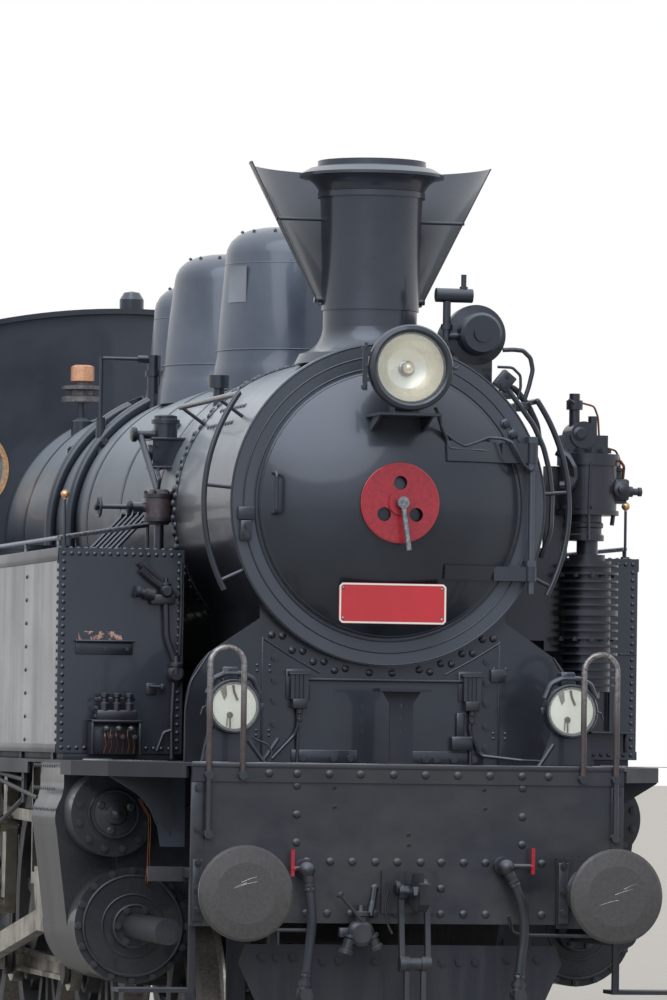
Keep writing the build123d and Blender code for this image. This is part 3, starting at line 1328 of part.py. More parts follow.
def handrails():
    """Hoops on the beam, rails round the smokebox and along it, on the tanks and at the cab doors."""
    solid = Part()
    y = buffer_length - beam_strip - rail_radius - seat_gap
    for x, top in ((-880, 2179), (912, 2171)):
        inner, outer = (x + 80, x - 80) if x < 0 else (x - 80, x + 80)
        solid += pipe(rail_radius, 79, (inner, y, 1570), (inner, y, top), (outer, y, top), (outer, y, 1292))
        for leg, z in ((inner, 1585), (outer, 1585), (outer, 1310)):
            foot = buffer_length - seat_gap - (beam_strip if z > 1555 else 0)
            solid += bar_y(20, leg, z, (y - 18, foot))
    # Rails bent round the smokebox's front, then back along its sides
    bend, low, high = 892, -28, 35
    front = smokebox_front_y + 27
    last = smokebox_back_y - 110
    corner = (bend * cos(radians(high)), boiler_z + bend * sin(radians(high)))
    side = ring_pipe(rail_radius, bend, front, low, high)
    side += Pos(corner[0], front, corner[1]) * Sphere(rail_radius) + bar_y(rail_radius, *corner, (front, last))
    for angle in (low + 3, 5):
        side += stanchion(9, front, angle, (smokebox_ring_radius + seat_gap, bend))
    for y in (front + 480, last - 12):
        side += stanchion(9, y, high, (smokebox_radius + seat_gap, bend))
    solid += both_sides(side)
    # Rails along the tanks' tops, and the one that climbs to the boiler on the right
    top, edge = tank_z[1] + seat_gap, half_width - 26
    side = bar_y(11, edge, top + 52, (tank_front_y + 150, cab_front_y - 60))
    for step in range(7):
        side += bar_z(8, edge, tank_front_y + 170 + 920 * step, (top, top + 52))
    solid += both_sides(side)
    low, high = (-edge, tank_front_y + 150, top + 52), (-900, tank_front_y + 593, top + 137)
    solid += pipe(12, 0, low, high) + bar_z(9, high[0], high[1], (top, high[2]))
    # Grab rails at the cab's doorways
    grab_x = half_width + 20
    for y in (doorway_y[0] - 45, doorway_y[1] + 45):
        rail = bar_z(9, grab_x, y, (floor_z - 60, floor_z + 930))
        for z in (floor_z - 50, floor_z + 920):
            rail += bar_x(9, y, z, (half_width + seat_gap, grab_x))
        solid += both_sides(rail)
    return solid


pieces["steps"] = steps()
pieces["handrails"] = handrails()

os.makedirs("parts", exist_ok=True)
for node, solid in pieces.items():
    export_step(Pos(0, -half_length, flange_height) * solid, f"parts/{node}.step")
print(len(pieces), "nodes")
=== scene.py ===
import bpy
import json
from functools import partial
from math import cos, pi, radians, sin, sqrt
from mathutils import Matrix, Vector


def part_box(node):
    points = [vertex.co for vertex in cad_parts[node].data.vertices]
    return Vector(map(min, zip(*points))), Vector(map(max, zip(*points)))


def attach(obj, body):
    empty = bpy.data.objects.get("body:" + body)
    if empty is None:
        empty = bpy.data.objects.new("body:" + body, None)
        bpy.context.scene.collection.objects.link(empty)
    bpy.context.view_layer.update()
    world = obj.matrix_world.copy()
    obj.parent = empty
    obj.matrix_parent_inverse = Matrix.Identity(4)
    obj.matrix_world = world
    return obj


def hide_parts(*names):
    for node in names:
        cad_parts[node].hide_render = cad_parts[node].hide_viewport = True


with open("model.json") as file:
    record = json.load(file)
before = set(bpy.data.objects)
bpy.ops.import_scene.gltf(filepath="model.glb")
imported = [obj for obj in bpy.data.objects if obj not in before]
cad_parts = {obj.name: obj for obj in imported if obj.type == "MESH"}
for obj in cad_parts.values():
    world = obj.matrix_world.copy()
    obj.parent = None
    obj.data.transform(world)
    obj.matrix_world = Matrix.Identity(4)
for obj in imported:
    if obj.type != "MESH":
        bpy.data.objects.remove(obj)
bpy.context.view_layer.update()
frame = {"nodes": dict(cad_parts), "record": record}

# The camera stands where the photographer stood, low beside the track, with a long lens
cameraSettings = {
    "place": (-6.879, -34.459, 1.814),
    "yaw": 12.556,  # degrees towards the locomotive's left side
    "pitch": 2.083,
    "roll": 0.809,
    "lens": 230.8,
    "sensor": 36,
    "farthest": 300,
}


def addCamera(s):
    yaw, pitch, roll = radians(s["yaw"]), radians(s["pitch"]), radians(s["roll"])
    ahead = Vector((sin(yaw) * cos(pitch), cos(yaw) * cos(pitch), sin(pitch)))
    level = Vector((cos(yaw), -sin(yaw), 0))
    above = level.cross(ahead)
    sideways = cos(roll) * level + sin(roll) * above
    upright = cos(roll) * above - sin(roll) * level
    turn = Matrix((sideways, upright, -ahead)).transposed()
    data = bpy.data.cameras.new("photoCamera")
    data.lens = s["lens"]
    data.sensor_width = s["sensor"]
    data.clip_end = s["farthest"]
    camera = bpy.data.objects.new("photoCamera", data)
    camera.matrix_world = Matrix.Translation(s["place"]) @ turn.to_4x4()
    bpy.context.scene.collection.objects.link(camera)
    bpy.context.scene.camera = camera


addCamera(cameraSettings)
print("camera placed")


# Shaping, in the drawing's millimetres: y back from the buffers, z above the rail; each piece starts from a primitive
middle, railZ = 5800, 28  # the frame's middle in the drawing, the rail's height in the frame
boilerZ = 2876
longestBend = 0.45  # share of a straight run that a pipe's bend may take
studInset, studHeight = 0.4, 0.45  # of a nut's radius and height
front, up, down, leftward, rightward = (0, -1, 0), (0, 0, 1), (0, 0, -1), (1, 0, 0), (-1, 0, 0)
otherSide, otherEnd = Vector((-1, 1, 1)), Vector((-1, -1, 1))


def at(x, y, z):
    return Vector((x, y - middle, z + railZ)) / 1000


def filled(point, y):
    # a point given as (x, z) takes the depth y
    return point if len(point) == 3 else (point[0], y, point[1])


def spots(points, direction=front, y=0):
    return [(at(*filled(point, y)), direction) for point in points]


def again(places, signs):
    # the same places and their twins on the other side or at the other end
    return places + [(point * signs, Vector(direction) * signs) for point, direction in places]


def circle(centre, radius, angles, level=False):
    # points on a circle that faces the front, or lies level
    x, y, z = centre
    turns = [(radius * cos(radians(angle)), radius * sin(radians(angle))) for angle in angles]
    return [(x + a, y + b, z) if level else (x + a, y, z + b) for a, b in turns]


def evenly(first, last, count):
    return [first + (last - first) * step / (count - 1) for step in range(count)]


def aroundBoiler(radius, y, angles):
    # places on a barrel, each with its outward direction
    return [spots([point], (cos(radians(angle)), 0, sin(radians(angle))))[0]
            for point, angle in zip(circle((0, y, boilerZ), radius, angles), angles)]


def turnTo(direction):
    return Vector(direction).to_track_quat("Z", "Y").to_matrix().to_4x4()


def only(*pieces):
    bpy.ops.object.select_all(action="DESELECT")
    for piece in pieces:
        piece.select_set(True)
    bpy.context.view_layer.objects.active = pieces[0]


def selectAll(action="SELECT"):
    bpy.ops.mesh.select_all(action=action)


def push(x, y, z):
    bpy.ops.mesh.extrude_region_move(TRANSFORM_OT_translate={"value": (x, y, z)})


def faceOutward():
    selectAll()
    bpy.ops.mesh.normals_make_consistent(inside=False)


def shape(piece, *steps):
    # runs edit-mode steps, the first one on the whole piece
    only(piece)
    bpy.ops.object.mode_set(mode="EDIT")
    bpy.ops.mesh.select_mode(type="FACE")
    selectAll()
    for step in steps:
        step()
    bpy.ops.object.mode_set(mode="OBJECT")
    return piece


def joined(pieces):
    only(*pieces)
    if len(pieces) > 1:
        bpy.ops.object.join()
    return pieces[0]


def keep(made, name, slotName, finish=None, body="root", angle=35):
    # one piece or a list to join; its place goes into its mesh, and it rides on its body
    piece = joined(made if isinstance(made, list) else [made])
    bpy.ops.object.transform_apply(location=True, rotation=True, scale=True)
    bpy.ops.object.shade_smooth_by_angle(angle=radians(angle))
    piece.name = name
    piece.data.name = name
    piece.data.materials.clear()
    piece.data.materials.append(finish or slotMaterials[slotName])
    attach(piece, body)


def spread(master, places):
    # copies of one small form, each with its own mesh, set at a point and turned to a direction
    copies = []
    for point, direction in places:
        copy = master.copy()
        copy.data = master.data.copy()
        copy.data.transform(Matrix.Translation(point) @ turnTo(direction))
        bpy.context.scene.collection.objects.link(copy)
        copies.append(copy)
    bpy.data.objects.remove(master)
    return joined(copies)


def frontAndRear(make):
    # a form and its copy at the locomotive's other end
    ends = [make(), make()]
    ends[1].data.transform(Matrix.Rotation(pi, 4, "Z"))
    return ends


def rivet(radius, height):
    # a snap head: the upper half of a ball, flattened, closed underneath
    bpy.ops.mesh.primitive_uv_sphere_add(segments=10, ring_count=6, radius=radius, location=(0, 0, 0))
    return shape(
        bpy.context.object,
        lambda: bpy.ops.mesh.bisect(plane_co=(0, 0, 0), plane_no=up, use_fill=True, clear_inner=True),
        selectAll,
        lambda: bpy.ops.transform.resize(value=(1, 1, height / radius), center_override=(0, 0, 0)),
    )


def hexBolt(radius, height):
    # a nut with the stud's end standing out of it
    bpy.ops.mesh.primitive_cylinder_add(vertices=6, radius=radius, depth=height, location=(0, 0, height / 2))
    bolt = bpy.context.object
    bpy.ops.object.transform_apply(location=True)
    shape(bolt, lambda: selectAll("DESELECT"))
    for face in bolt.data.polygons:
        face.select = face.normal.z > 0.9
    bpy.ops.object.mode_set(mode="EDIT")
    bpy.ops.mesh.inset(thickness=radius * studInset)
    push(0, 0, height * studHeight)
    bpy.ops.object.mode_set(mode="OBJECT")
    return bolt


def rounded(corner, opposite, edge=3):
    # a block between two corners, its edges bevelled
    low, high = [at(*map(pick, corner, opposite)) for pick in (min, max)]
    bpy.ops.mesh.primitive_cube_add(size=1, location=(low + high) / 2, scale=high - low)
    block = bpy.context.object
    bpy.ops.object.transform_apply(location=True, rotation=True, scale=True)
    return shape(block, lambda: bpy.ops.mesh.bevel(offset=edge / 1000, segments=2, affect="EDGES"))


def turned(rings, centre, direction=front, vertices=48, hollow=False):
    # a turned form: a disc extruded ring by ring; rings are (radius, its distances along the direction)
    rings = [(radius, along) for radius, *distances in rings for along in distances]

    def grow():
        for (radius, along), (nextRadius, nextAlong) in zip(rings, rings[1:]):
            push(0, 0, (nextAlong - along) / 1000)
            wider = nextRadius / radius
            bpy.ops.transform.resize(value=(wider, wider, 1), center_override=(0, 0, nextAlong / 1000))

    def openEnds():
        # the two end discs come off and their rims are joined, which leaves a ring
        selectAll("DESELECT")
        bpy.ops.mesh.select_face_by_sides(number=4, type="GREATER")
        bpy.ops.mesh.delete(type="FACE")
        bpy.ops.mesh.select_mode(type="EDGE")
        bpy.ops.mesh.select_non_manifold()
        bpy.ops.mesh.bridge_edge_loops()

    radius, along = rings[0]
    bpy.ops.mesh.primitive_circle_add(
        vertices=vertices, radius=radius / 1000, fill_type="NGON", location=(0, 0, along / 1000),
    )
    form = bpy.context.object
    bpy.ops.object.transform_apply(location=True)
    shape(form, grow, *([openEnds] if hollow else []), faceOutward)
    form.data.transform(Matrix.Translation(at(*centre)) @ turnTo(direction))
    return form


def ringOf(major, minor, centre, direction=front, segments=64):
    bpy.ops.mesh.primitive_torus_add(
        major_radius=major / 1000, minor_radius=minor / 1000, major_segments=segments, minor_segments=10,
        location=at(*centre), rotation=Vector(direction).to_track_quat("Z", "Y").to_euler(),
    )
    return bpy.context.object


def band(radius, thick, y, width):
    # a flat strap right round a barrel
    bpy.ops.mesh.primitive_cylinder_add(
        vertices=128, radius=radius / 1000, depth=width / 1000, end_fill_type="NOTHING",
        location=at(0, y, boilerZ), rotation=(radians(90), 0, 0),
    )
    strap = bpy.context.object
    bpy.ops.object.transform_apply(location=True, rotation=True)
    skin = strap.modifiers.new("thickness", "SOLIDIFY")
    skin.thickness = thick / 1000
    skin.offset = 1
    bpy.ops.object.modifier_apply(modifier=skin.name)
    return strap


def follow(data, points, radius, steps, sides):
    # gives a curve its route and its round section
    data.dimensions = "3D"
    spline = data.splines.new("NURBS")
    spline.points.add(len(points) - 1)
    for point, place in zip(spline.points, points):
        point.co = (*at(*place), 1)
    spline.order_u = 3
    spline.use_endpoint_u = True
    data.resolution_u = steps
    data.bevel_depth = radius
    data.bevel_resolution = sides
    data.use_fill_caps = True


def bent(radius, points, bend=40, sides=3, y=0):
    # a pipe or wire through points; two more points at each corner keep the runs straight
    route = [Vector(filled(point, y)) for point in points]
    soft = [route[0]]
    for before, here, after in zip(route, route[1:], route[2:]):
        back, ahead = [way.normalized() * min(bend, way.length * longestBend) for way in (before - here, after - here)]
        soft += [here + back, here, here + ahead]
    bpy.ops.curve.primitive_nurbs_path_add(location=(0, 0, 0))
    curve = bpy.context.object
    curve.data.splines.clear()
    follow(curve.data, soft + [route[-1]], radius / 1000, 6, sides)
    only(curve)
    bpy.ops.object.convert(target="MESH")
    return bpy.context.object


def pipes(bend, slotName, table, finish=None):
    # table: name of the piece, then its radius, depth and points
    for name, (radius, y, points) in table.items():
        keep(bent(radius, points, bend, y=y), name, slotName, finish)


def plateFrom(outline, y, thick):
    # a flat plate that faces the front, cut to an outline of (x, z)
    bpy.ops.mesh.primitive_circle_add(vertices=len(outline), radius=1, fill_type="NGON", location=(0, 0, 0))
    plate = bpy.context.object
    for vertex, (x, z) in zip(plate.data.vertices, outline):
        vertex.co = at(x, y, z)
    return shape(plate, lambda: push(0, thick / 1000, 0), faceOutward)


# Colours and node trees
def linear(code):
    parts = [int(code[i:i + 2], 16) / 255 for i in (1, 3, 5)]
    return [p / 12.92 if p <= 0.04045 else ((p + 0.055) / 1.055) ** 2.4 for p in parts] + [1.0]


def addNode(tree, kind, settings=None, links=None):
    # settings: attributes or input sockets by name or number; links: input socket from a node or (node, output)
    node = tree.nodes.new("ShaderNode" + kind)
    for key, value in (settings or {}).items():
        if isinstance(key, int) or key in node.inputs:
            node.inputs[key].default_value = value
        else:
            setattr(node, key, value)
    for key, source in (links or {}).items():
        source, output = source if isinstance(source, tuple) else (source, 0)
        tree.links.new(source.outputs[output], node.inputs[key])
    return node


def newMaterial(name):
    # an empty material, addNode for its tree, and the piece's own coordinates
    material = bpy.data.materials.new(name)
    material.use_nodes = True
    material.node_tree.nodes.clear()
    add = partial(addNode, material.node_tree)
    return material, add, add("TexCoord")


def shaded(material, add, settings, links):
    shader = add("BsdfPrincipled", settings, links)
    add("OutputMaterial", {}, {"Surface": shader})
    return material


def zoneMask(add, place, area):
    # 1 inside a box or a round tube given in the drawing's millimetres, 0 outside
    low, high = at(*area["low"]), at(*area["high"])
    axes = add("SeparateXYZ", {}, {0: (place, "Object")})
    above, below = "GREATER_THAN", "LESS_THAN"
    tests = [(kind, limit[axis], (axes, axis)) for axis in range(3) for kind, limit in ((above, low), (below, high))]
    if "round" in area:
        along, inner, outer = area["round"]
        sideways = [0 if axis == along else 1 for axis in "xyz"]
        offset = add("VectorMath", {"operation": "SUBTRACT", 1: (low + high) / 2}, {0: (place, "Object")})
        flat = add("VectorMath", {"operation": "MULTIPLY", 1: sideways}, {0: offset})
        reach = add("VectorMath", {"operation": "LENGTH"}, {0: flat})
        tests += [(above, inner / 1000, (reach, 1)), (below, outer / 1000, (reach, 1))]
    if "patchy" in area:
        scale, least = area["patchy"]
        noise = {"Scale": scale, "Detail": 8.0, "Roughness": 0.7}
        tests.append((above, least, add("TexNoise", noise, {"Vector": (place, "Object")})))
    parts = [add("Math", {"operation": kind, 1: limit}, {0: source}) for kind, limit, source in tests]
    if "fade" in area:
        nothing, full = [at(0, 0, z)[2] for z in area["fade"]]
        parts.append(add("MapRange", {"From Min": nothing, "From Max": full}, {"Value": (axes, 2)}))
    mask = parts[0]
    for part in parts[1:]:
        mask = add("Math", {"operation": "MULTIPLY"}, {0: mask, 1: part})
    return mask


def overlayZones(add, place, colour, rough, patches, zones):
    # other finishes on parts of one node, each by its place
    found = {"Base Color": colour, "Roughness": rough}
    for area in zones:
        mask = zoneMask(add, place, area)
        first, second = [linear(code) for code in area["colours"]]
        share = add("MapRange", {"From Min": 0.35, "From Max": 0.65}, {"Value": patches})
        tone = add("Mix", {"data_type": "RGBA", 6: first, 7: second}, {0: share})
        over = add("Mix", {"data_type": "RGBA"}, {0: mask, 6: found["Base Color"], 7: (tone, 2)})
        dull = add("Mix", {"data_type": "FLOAT", 3: area["rough"]}, {0: mask, 2: found["Roughness"]})
        shine = add("Math", {"operation": "MULTIPLY", 1: area["metallic"]}, {0: mask})
        if "Metallic" in found:
            shine = add("Math", {"operation": "MAXIMUM"}, {0: shine, 1: found["Metallic"]})
        found = {"Base Color": (over, 2), "Roughness": dull, "Metallic": shine}
    return found


def paintedMetal(name, s):
    # Paint on sheet or cast metal: two tones in patches, dust low down, paler upward faces from dust and painted sky
    # reflection, worn gloss and faint dents
    material, add, place = newMaterial(name)
    here = {"Vector": (place, "Object")}
    axes = add("SeparateXYZ", {}, {0: (place, "Object")})
    patches = add("TexNoise", {"Scale": s["patchScale"], "Detail": 6.0, "Roughness": 0.6}, here)
    streakMap = add("Mapping", {"Scale": s["streaks"]}, here)
    streaks = add("TexNoise", {"Scale": 2.2, "Detail": 8.0, "Roughness": 0.65}, {"Vector": streakMap})
    grain = add("TexNoise", {"Scale": 60.0, "Detail": 4.0, "Roughness": 0.7}, here)
    share = add("MapRange", {"From Min": 0.35, "From Max": 0.68}, {"Value": patches})
    tone = add("Mix", {"data_type": "RGBA", 6: linear(s["colour"]), 7: linear(s["faded"])}, {0: share})
    # dust gathers towards the rail and runs down in streaks
    dustEnd = {"From Min": s["dustTop"], "From Max": s["dustTop"] - s["dustFall"]}
    height = add("MapRange", dustEnd, {"Value": (axes, 2)})
    runs = add("MapRange", {"From Min": 0.42, "From Max": 0.75}, {"Value": streaks})
    dustiness = add("Math", {"operation": "MULTIPLY"}, {0: height, 1: runs})
    dustiness = add("Math", {"operation": "MULTIPLY", 1: s["dust"]}, {0: dustiness})
    dust = {"data_type": "RGBA", 7: linear(s["dustColour"])}
    dusty = add("Mix", dust, {0: dustiness, 6: (tone, 2)})
    specks = add("MapRange", {"From Min": 0.62, "From Max": 0.78}, {"Value": grain})
    specks = add("Math", {"operation": "MULTIPLY", 1: s["specks"]}, {0: specks})
    speckled = add("Mix", dust, {0: specks, 6: (dusty, 2)})
    # faces that look up turn pale: settled soot dust, and painted sky reflection
    facing = add("SeparateXYZ", {}, {0: (place, "Normal")})
    topEnd = {"From Min": s["topFrom"], "From Max": s["topFrom"] + s["topBlend"], "To Max": s["topDust"]}
    lying = add("MapRange", topEnd, {"Value": (facing, 2)})
    topped = add("Mix", {"data_type": "RGBA", 7: linear(s["topColour"])}, {0: lying, 6: (speckled, 2)})
    roughEnds = {"From Min": 0.3, "From Max": 0.7, "To Min": s["rough"][0], "To Max": s["rough"][1]}
    rough = add("MapRange", roughEnds, {"Value": patches})
    dull = add("Math", {"operation": "MULTIPLY_ADD", 1: 0.5}, {0: dustiness, 2: rough})
    links = overlayZones(add, place, (topped, 2), dull, grain, s.get("zones", []))
    dentMap = add("Mapping", {"Scale": s["dentStretch"]}, here)
    dents = add("TexNoise", {"Scale": s["dentScale"], "Detail": 2.0}, {"Vector": dentMap})
    wave = add("Bump", {"Strength": 1.0, "Distance": s["dentDepth"]}, {"Height": dents})
    skin = add("Bump", {"Strength": 0.35, "Distance": s["grainDepth"]}, {"Height": grain, "Normal": wave})
    return shaded(material, add, {
        "Coat Weight": s["coat"], "Coat Roughness": 0.08, "IOR": s["ior"], "Specular Tint": linear(s["gloss"]),
    }, {**links, "Normal": skin, "Coat Normal": wave})


def machinedSteel(name, s):
    # Bare steel wiped with oil: fine lathe or file marks and darker greasy patches
    material, add, place = newMaterial(name)
    here = {"Vector": (place, "Object")}
    patches = add("TexNoise", {"Scale": s["patchScale"], "Detail": 6.0}, here)
    markMap = add("Mapping", {"Scale": s["marks"]}, here)
    marks = add("TexNoise", {"Scale": 40.0, "Detail": 5.0, "Roughness": 0.7}, {"Vector": markMap})
    share = add("MapRange", {"From Min": 0.38, "From Max": 0.66}, {"Value": patches})
    tone = add("Mix", {"data_type": "RGBA", 6: linear(s["colour"]), 7: linear(s["grease"])}, {0: share})
    roughEnds = {"From Min": 0.3, "From Max": 0.7, "To Min": s["rough"][0], "To Max": s["rough"][1]}
    rough = add("MapRange", roughEnds, {"Value": patches})
    bump = add("Bump", {"Strength": 0.25, "Distance": 0.002}, {"Height": marks})
    links = {"Base Color": (tone, 2), "Roughness": rough, "Normal": bump}
    return shaded(material, add, {"Metallic": s["metallic"]}, links)


def clearGlass(name, s):
    # Clear pane: a gloss over what is behind it, with a film of dust
    material, add, place = newMaterial(name)
    film = add("TexNoise", {"Scale": 5.0, "Detail": 6.0}, {"Vector": (place, "Object")})
    dusty = add("MapRange", {"From Min": 0.35, "From Max": 0.75}, {"Value": film})
    tone = add("Mix", {"data_type": "RGBA", 6: linear(s["tint"]), 7: linear(s["dust"])}, {0: dusty})
    rough = add("Math", {"operation": "MULTIPLY_ADD", 1: s["dusty"], 2: s["rough"]}, {0: dusty})
    return shaded(material, add, {"Alpha": s["alpha"]}, {"Base Color": (tone, 2), "Roughness": rough})


paint = {
    "colour": "#15171c", "faded": "#1f2228", "patchScale": 1.6, "rough": (0.26, 0.40), "coat": 0.3, "ior": 1.6,
    "gloss": "#c3d2ee", "dustColour": "#4f4b48", "dust": 0.45, "dustTop": 2.0, "dustFall": 1.3,
    "streaks": (6.0, 6.0, 0.7), "specks": 0.08, "topColour": "#8b949f", "topDust": 0.5, "topFrom": 0.15,
    "topBlend": 0.8, "grainDepth": 0.0006, "dentScale": 1.3, "dentStretch": (1.0, 1.0, 0.3), "dentDepth": 0.022,
}
castIron = {
    **paint, "colour": "#191a1d", "faded": "#27262a", "rough": (0.3, 0.5), "coat": 0.2, "dust": 0.4, "specks": 0.25,
    "dentDepth": 0.003, "grainDepth": 0.0015, "topDust": 0.25,
}
finishes = {
    # glossy black enamel on the boiler, tanks, cab and bunker
    "black_paint": (paintedMetal, "glossBlackEnamel", paint),
    # heat-worn black on the smokebox, its door, the chimney and the apron
    "smokebox_black": (paintedMetal, "smokeboxBlackPaint", {
        **paint, "colour": "#17191e", "faded": "#22252b", "rough": (0.24, 0.40), "dust": 0.3, "specks": 0.14,
        "topDust": 0.55, "dentScale": 2.2, "dentDepth": 0.006,
    }),
    # matt black on the frame, footplate and steps, with oil and road dust
    "frame_black": (paintedMetal, "mattFrameBlack", {
        **paint, "colour": "#131316", "faded": "#1f1e1f", "rough": (0.42, 0.65), "coat": 0.0, "dust": 0.4,
        "specks": 0.2, "dentDepth": 0.004, "topDust": 0.3,
    }),
    # brown-black dusty paint on the buffer beam
    "beam_black": (paintedMetal, "dustyBeamPaint", {
        **paint, "colour": "#1b1c20", "faded": "#2b2927", "rough": (0.30, 0.54), "coat": 0.1, "dust": 0.5,
        "specks": 0.25, "dentDepth": 0.010, "dentScale": 2.6, "dentStretch": (1.0, 1.0, 1.0),
        "streaks": (1.6, 1.6, 2.2), "patchScale": 2.4,
    }),
    # machined steel of the rods and crossheads, wiped with oil
    "rod_steel": (machinedSteel, "oiledRodSteel", {
        "colour": "#9a978f", "grease": "#4d4843", "metallic": 1.0, "rough": (0.25, 0.5), "patchScale": 5.0,
        "marks": (1.0, 0.1, 1.0),
    }),
    # dark cast housings of the buffers; the heads are greased steel
    "buffer_steel": (paintedMetal, "bufferHousingIron", castIron),
    # black paint on the wheels, brown with brake dust
    "wheel_black": (paintedMetal, "wheelBlackPaint", {
        **paint, "colour": "#1a1a1c", "faded": "#2e2b29", "rough": (0.4, 0.65), "coat": 0.0, "dust": 0.9,
        "specks": 0.3, "dentDepth": 0.002,
    }),
    # oily cast iron of the pump, axle boxes and couplings
    "iron": (paintedMetal, "oilyCastIron", castIron),
    # red enamel of the number plate
    "plate_red": (paintedMetal, "redPlateEnamel", {
        **paint, "colour": "#b80f26", "faded": "#a00b1e", "rough": (0.25, 0.4), "coat": 0.2, "dust": 0.15,
        "specks": 0.1, "dentDepth": 0.001, "topDust": 0.0, "gloss": "#ffffff",
    }),
    # black rubber of the brake hoses, shiny where hands rub it
    "hose_rubber": (paintedMetal, "hoseRubber", {
        **paint, "colour": "#1d1f24", "faded": "#2a2d33", "rough": (0.3, 0.5), "coat": 0.0, "dust": 0.5,
        "specks": 0.2, "dentDepth": 0.0005,
    }),
    # float glass of the cab windows and the lamps, a little dusty
    "glass": (clearGlass, "windowGlass", {
        "tint": "#dfe8e4", "dust": "#b8b3aa", "rough": 0.02, "dusty": 0.12, "alpha": 0.16,
    }),
}


def zone(low, high, colours, rough, metallic=0.0, **more):
    return {"low": low, "high": high, "colours": colours, "rough": rough, "metallic": metallic, **more}


def roundZone(x, y, z, inner, outer, *look):
    # round an axis that lies along y
    return zone((x - outer, y[0], z - outer), (x + outer, y[1], z + outer), *look, round=("y", inner, outer))


def twins(area, rear=False):
    # the area and its twin on the other side, or at the other end
    low, high = area["low"], area["high"]
    y = (2 * middle - high[1], 2 * middle - low[1]) if rear else (low[1], high[1])
    return [area, {**area, "low": (-high[0], y[0], low[2]), "high": (-low[0], y[1], high[2])}]


steelTones, brassTones, redTones = ("#94949a", "#5a544f"), ("#d8b088", "#b08760"), ("#a81c26", "#8a161f")
lampFace = roundZone(813, (646, 650), 1904, 0, 101, ("#e6ebe2", "#f4f5ee"), 0.35)
zonesOf = {
    # red cover disc in the middle of the door, its polished lever
    "smokebox_door": [
        roundZone(0, (745, 788.5), boilerZ, 0, 187, ("#a21b25", "#7f171f"), 0.42),
        zone((-60, 690, 2550), (90, 744, 2936), ("#8d9199", "#5d6068"), 0.32, 0.85),
    ],
    # hoops worn bright where hands hold them, brown with rust lower down, and the bright rails on the tanks
    "handrails": [
        zone((-1000, 440, 1600), (1010, 520, 2215), ("#302d2d", "#4a3c36"), 0.55, 0.2),
        zone((-1000, 440, 1800), (1010, 520, 2215), steelTones, 0.36, 0.8, fade=(1830, 2130)),
        *twins(zone((1000, 1780, 2670), (1450, 7700, 2790), ("#9b9ca1", "#55555a"), 0.36, 0.75)),
    ],
    # greased faces of the heads
    "buffers": twins(zone((-1100, -5, 800), (1100, 62, 1300), ("#4a4949", "#403d3c"), 0.42, 0.35), rear=True),
    # silvered dish and the worn edge of the front ring
    "headlamp": [
        roundZone(0, (597.9, 709), 3506, 0, 157.6, ("#efe9d8", "#ddd6c2"), 0.3, 0.5),
        roundZone(0, (588, 598), 3506, 158, 189, ("#45464c", "#2e2f34"), 0.32, 0.5),
    ],
    "marker_lamps": [area for lamp in twins(lampFace) for area in twins(lamp, rear=True)],
    # brass balls on the corner rods, rust on the front above the bracket
    "side_tanks": [
        *twins(zone((1380, 1875, 2900), (1430, 1925, 2950), brassTones, 0.3, 0.8)),
        zone((-1345, 1800, 2221), (-1130, 1809, 2262), ("#c3a294", "#8d5f4c"), 0.7, patchy=(34, 0.52)),
    ],
    # brass cap and grey body of the safety valve, rusty clack valve beside the boiler
    "boiler_fittings": [
        zone((-475, 6925, 3748), (-330, 7075, 3850), ("#d5a482", "#bd8863"), 0.4, 0.15),
        zone((-525, 6880, 3630), (-280, 7120, 3748), ("#6c6a6e", "#474345"), 0.5, 0.3),
        zone((-880, 2560, 2800), (-725, 2720, 2990), ("#4a3f40", "#352d30"), 0.5, 0.2),
    ],
    # darker, duller sheet towards the bottom of the cylinders' casing
    "cylinders": [zone((-1450, 600, 560), (1450, 2700, 1600), ("#121112", "#211f1e"), 0.72, fade=(1600, 1250))],
    # red handles of the brake cocks
    "buffer_beams": [
        zone((-576, 448, 1117), (-551, 472, 1265), redTones, 0.4),
        zone((575, 448, 1117), (602, 472, 1265), redTones, 0.4),
    ],
    # brass rims of the cab's end windows
    "cab_front": twins(roundZone(960, (7586, 7599.5), 3270, 214, 246, brassTones, 0.3, 0.8)),
    "cab_back": twins(roundZone(960, (9480.5, 9493), 3420, 214, 246, brassTones, 0.3, 0.8)),
}
# wheels: bright running surface, dusty tyre face; rings are given from the tread's radius
wheelRings = (
    (-5, 40, ("#8a8783", "#6b6661"), 0.32, 0.85),
    (-60, -5, ("#3b3531", "#4a413a"), 0.6, 0.3),
)
treadRadii = {"leading": 435, "trailing": 435, "driving_front": 787, "driving_main": 787, "driving_rear": 787}
for node, radius in treadRadii.items():
    low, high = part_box("wheelset_" + node)
    y, z = (low.y + high.y) * 500 + middle, radius
    zonesOf["wheelset_" + node] = [
        zone((-815, y - radius - outer, z - radius - outer), (815, y + radius + outer, z + radius + outer), *look,
             round=("x", radius + inner, radius + outer))
        for inner, outer, *look in wheelRings
    ]
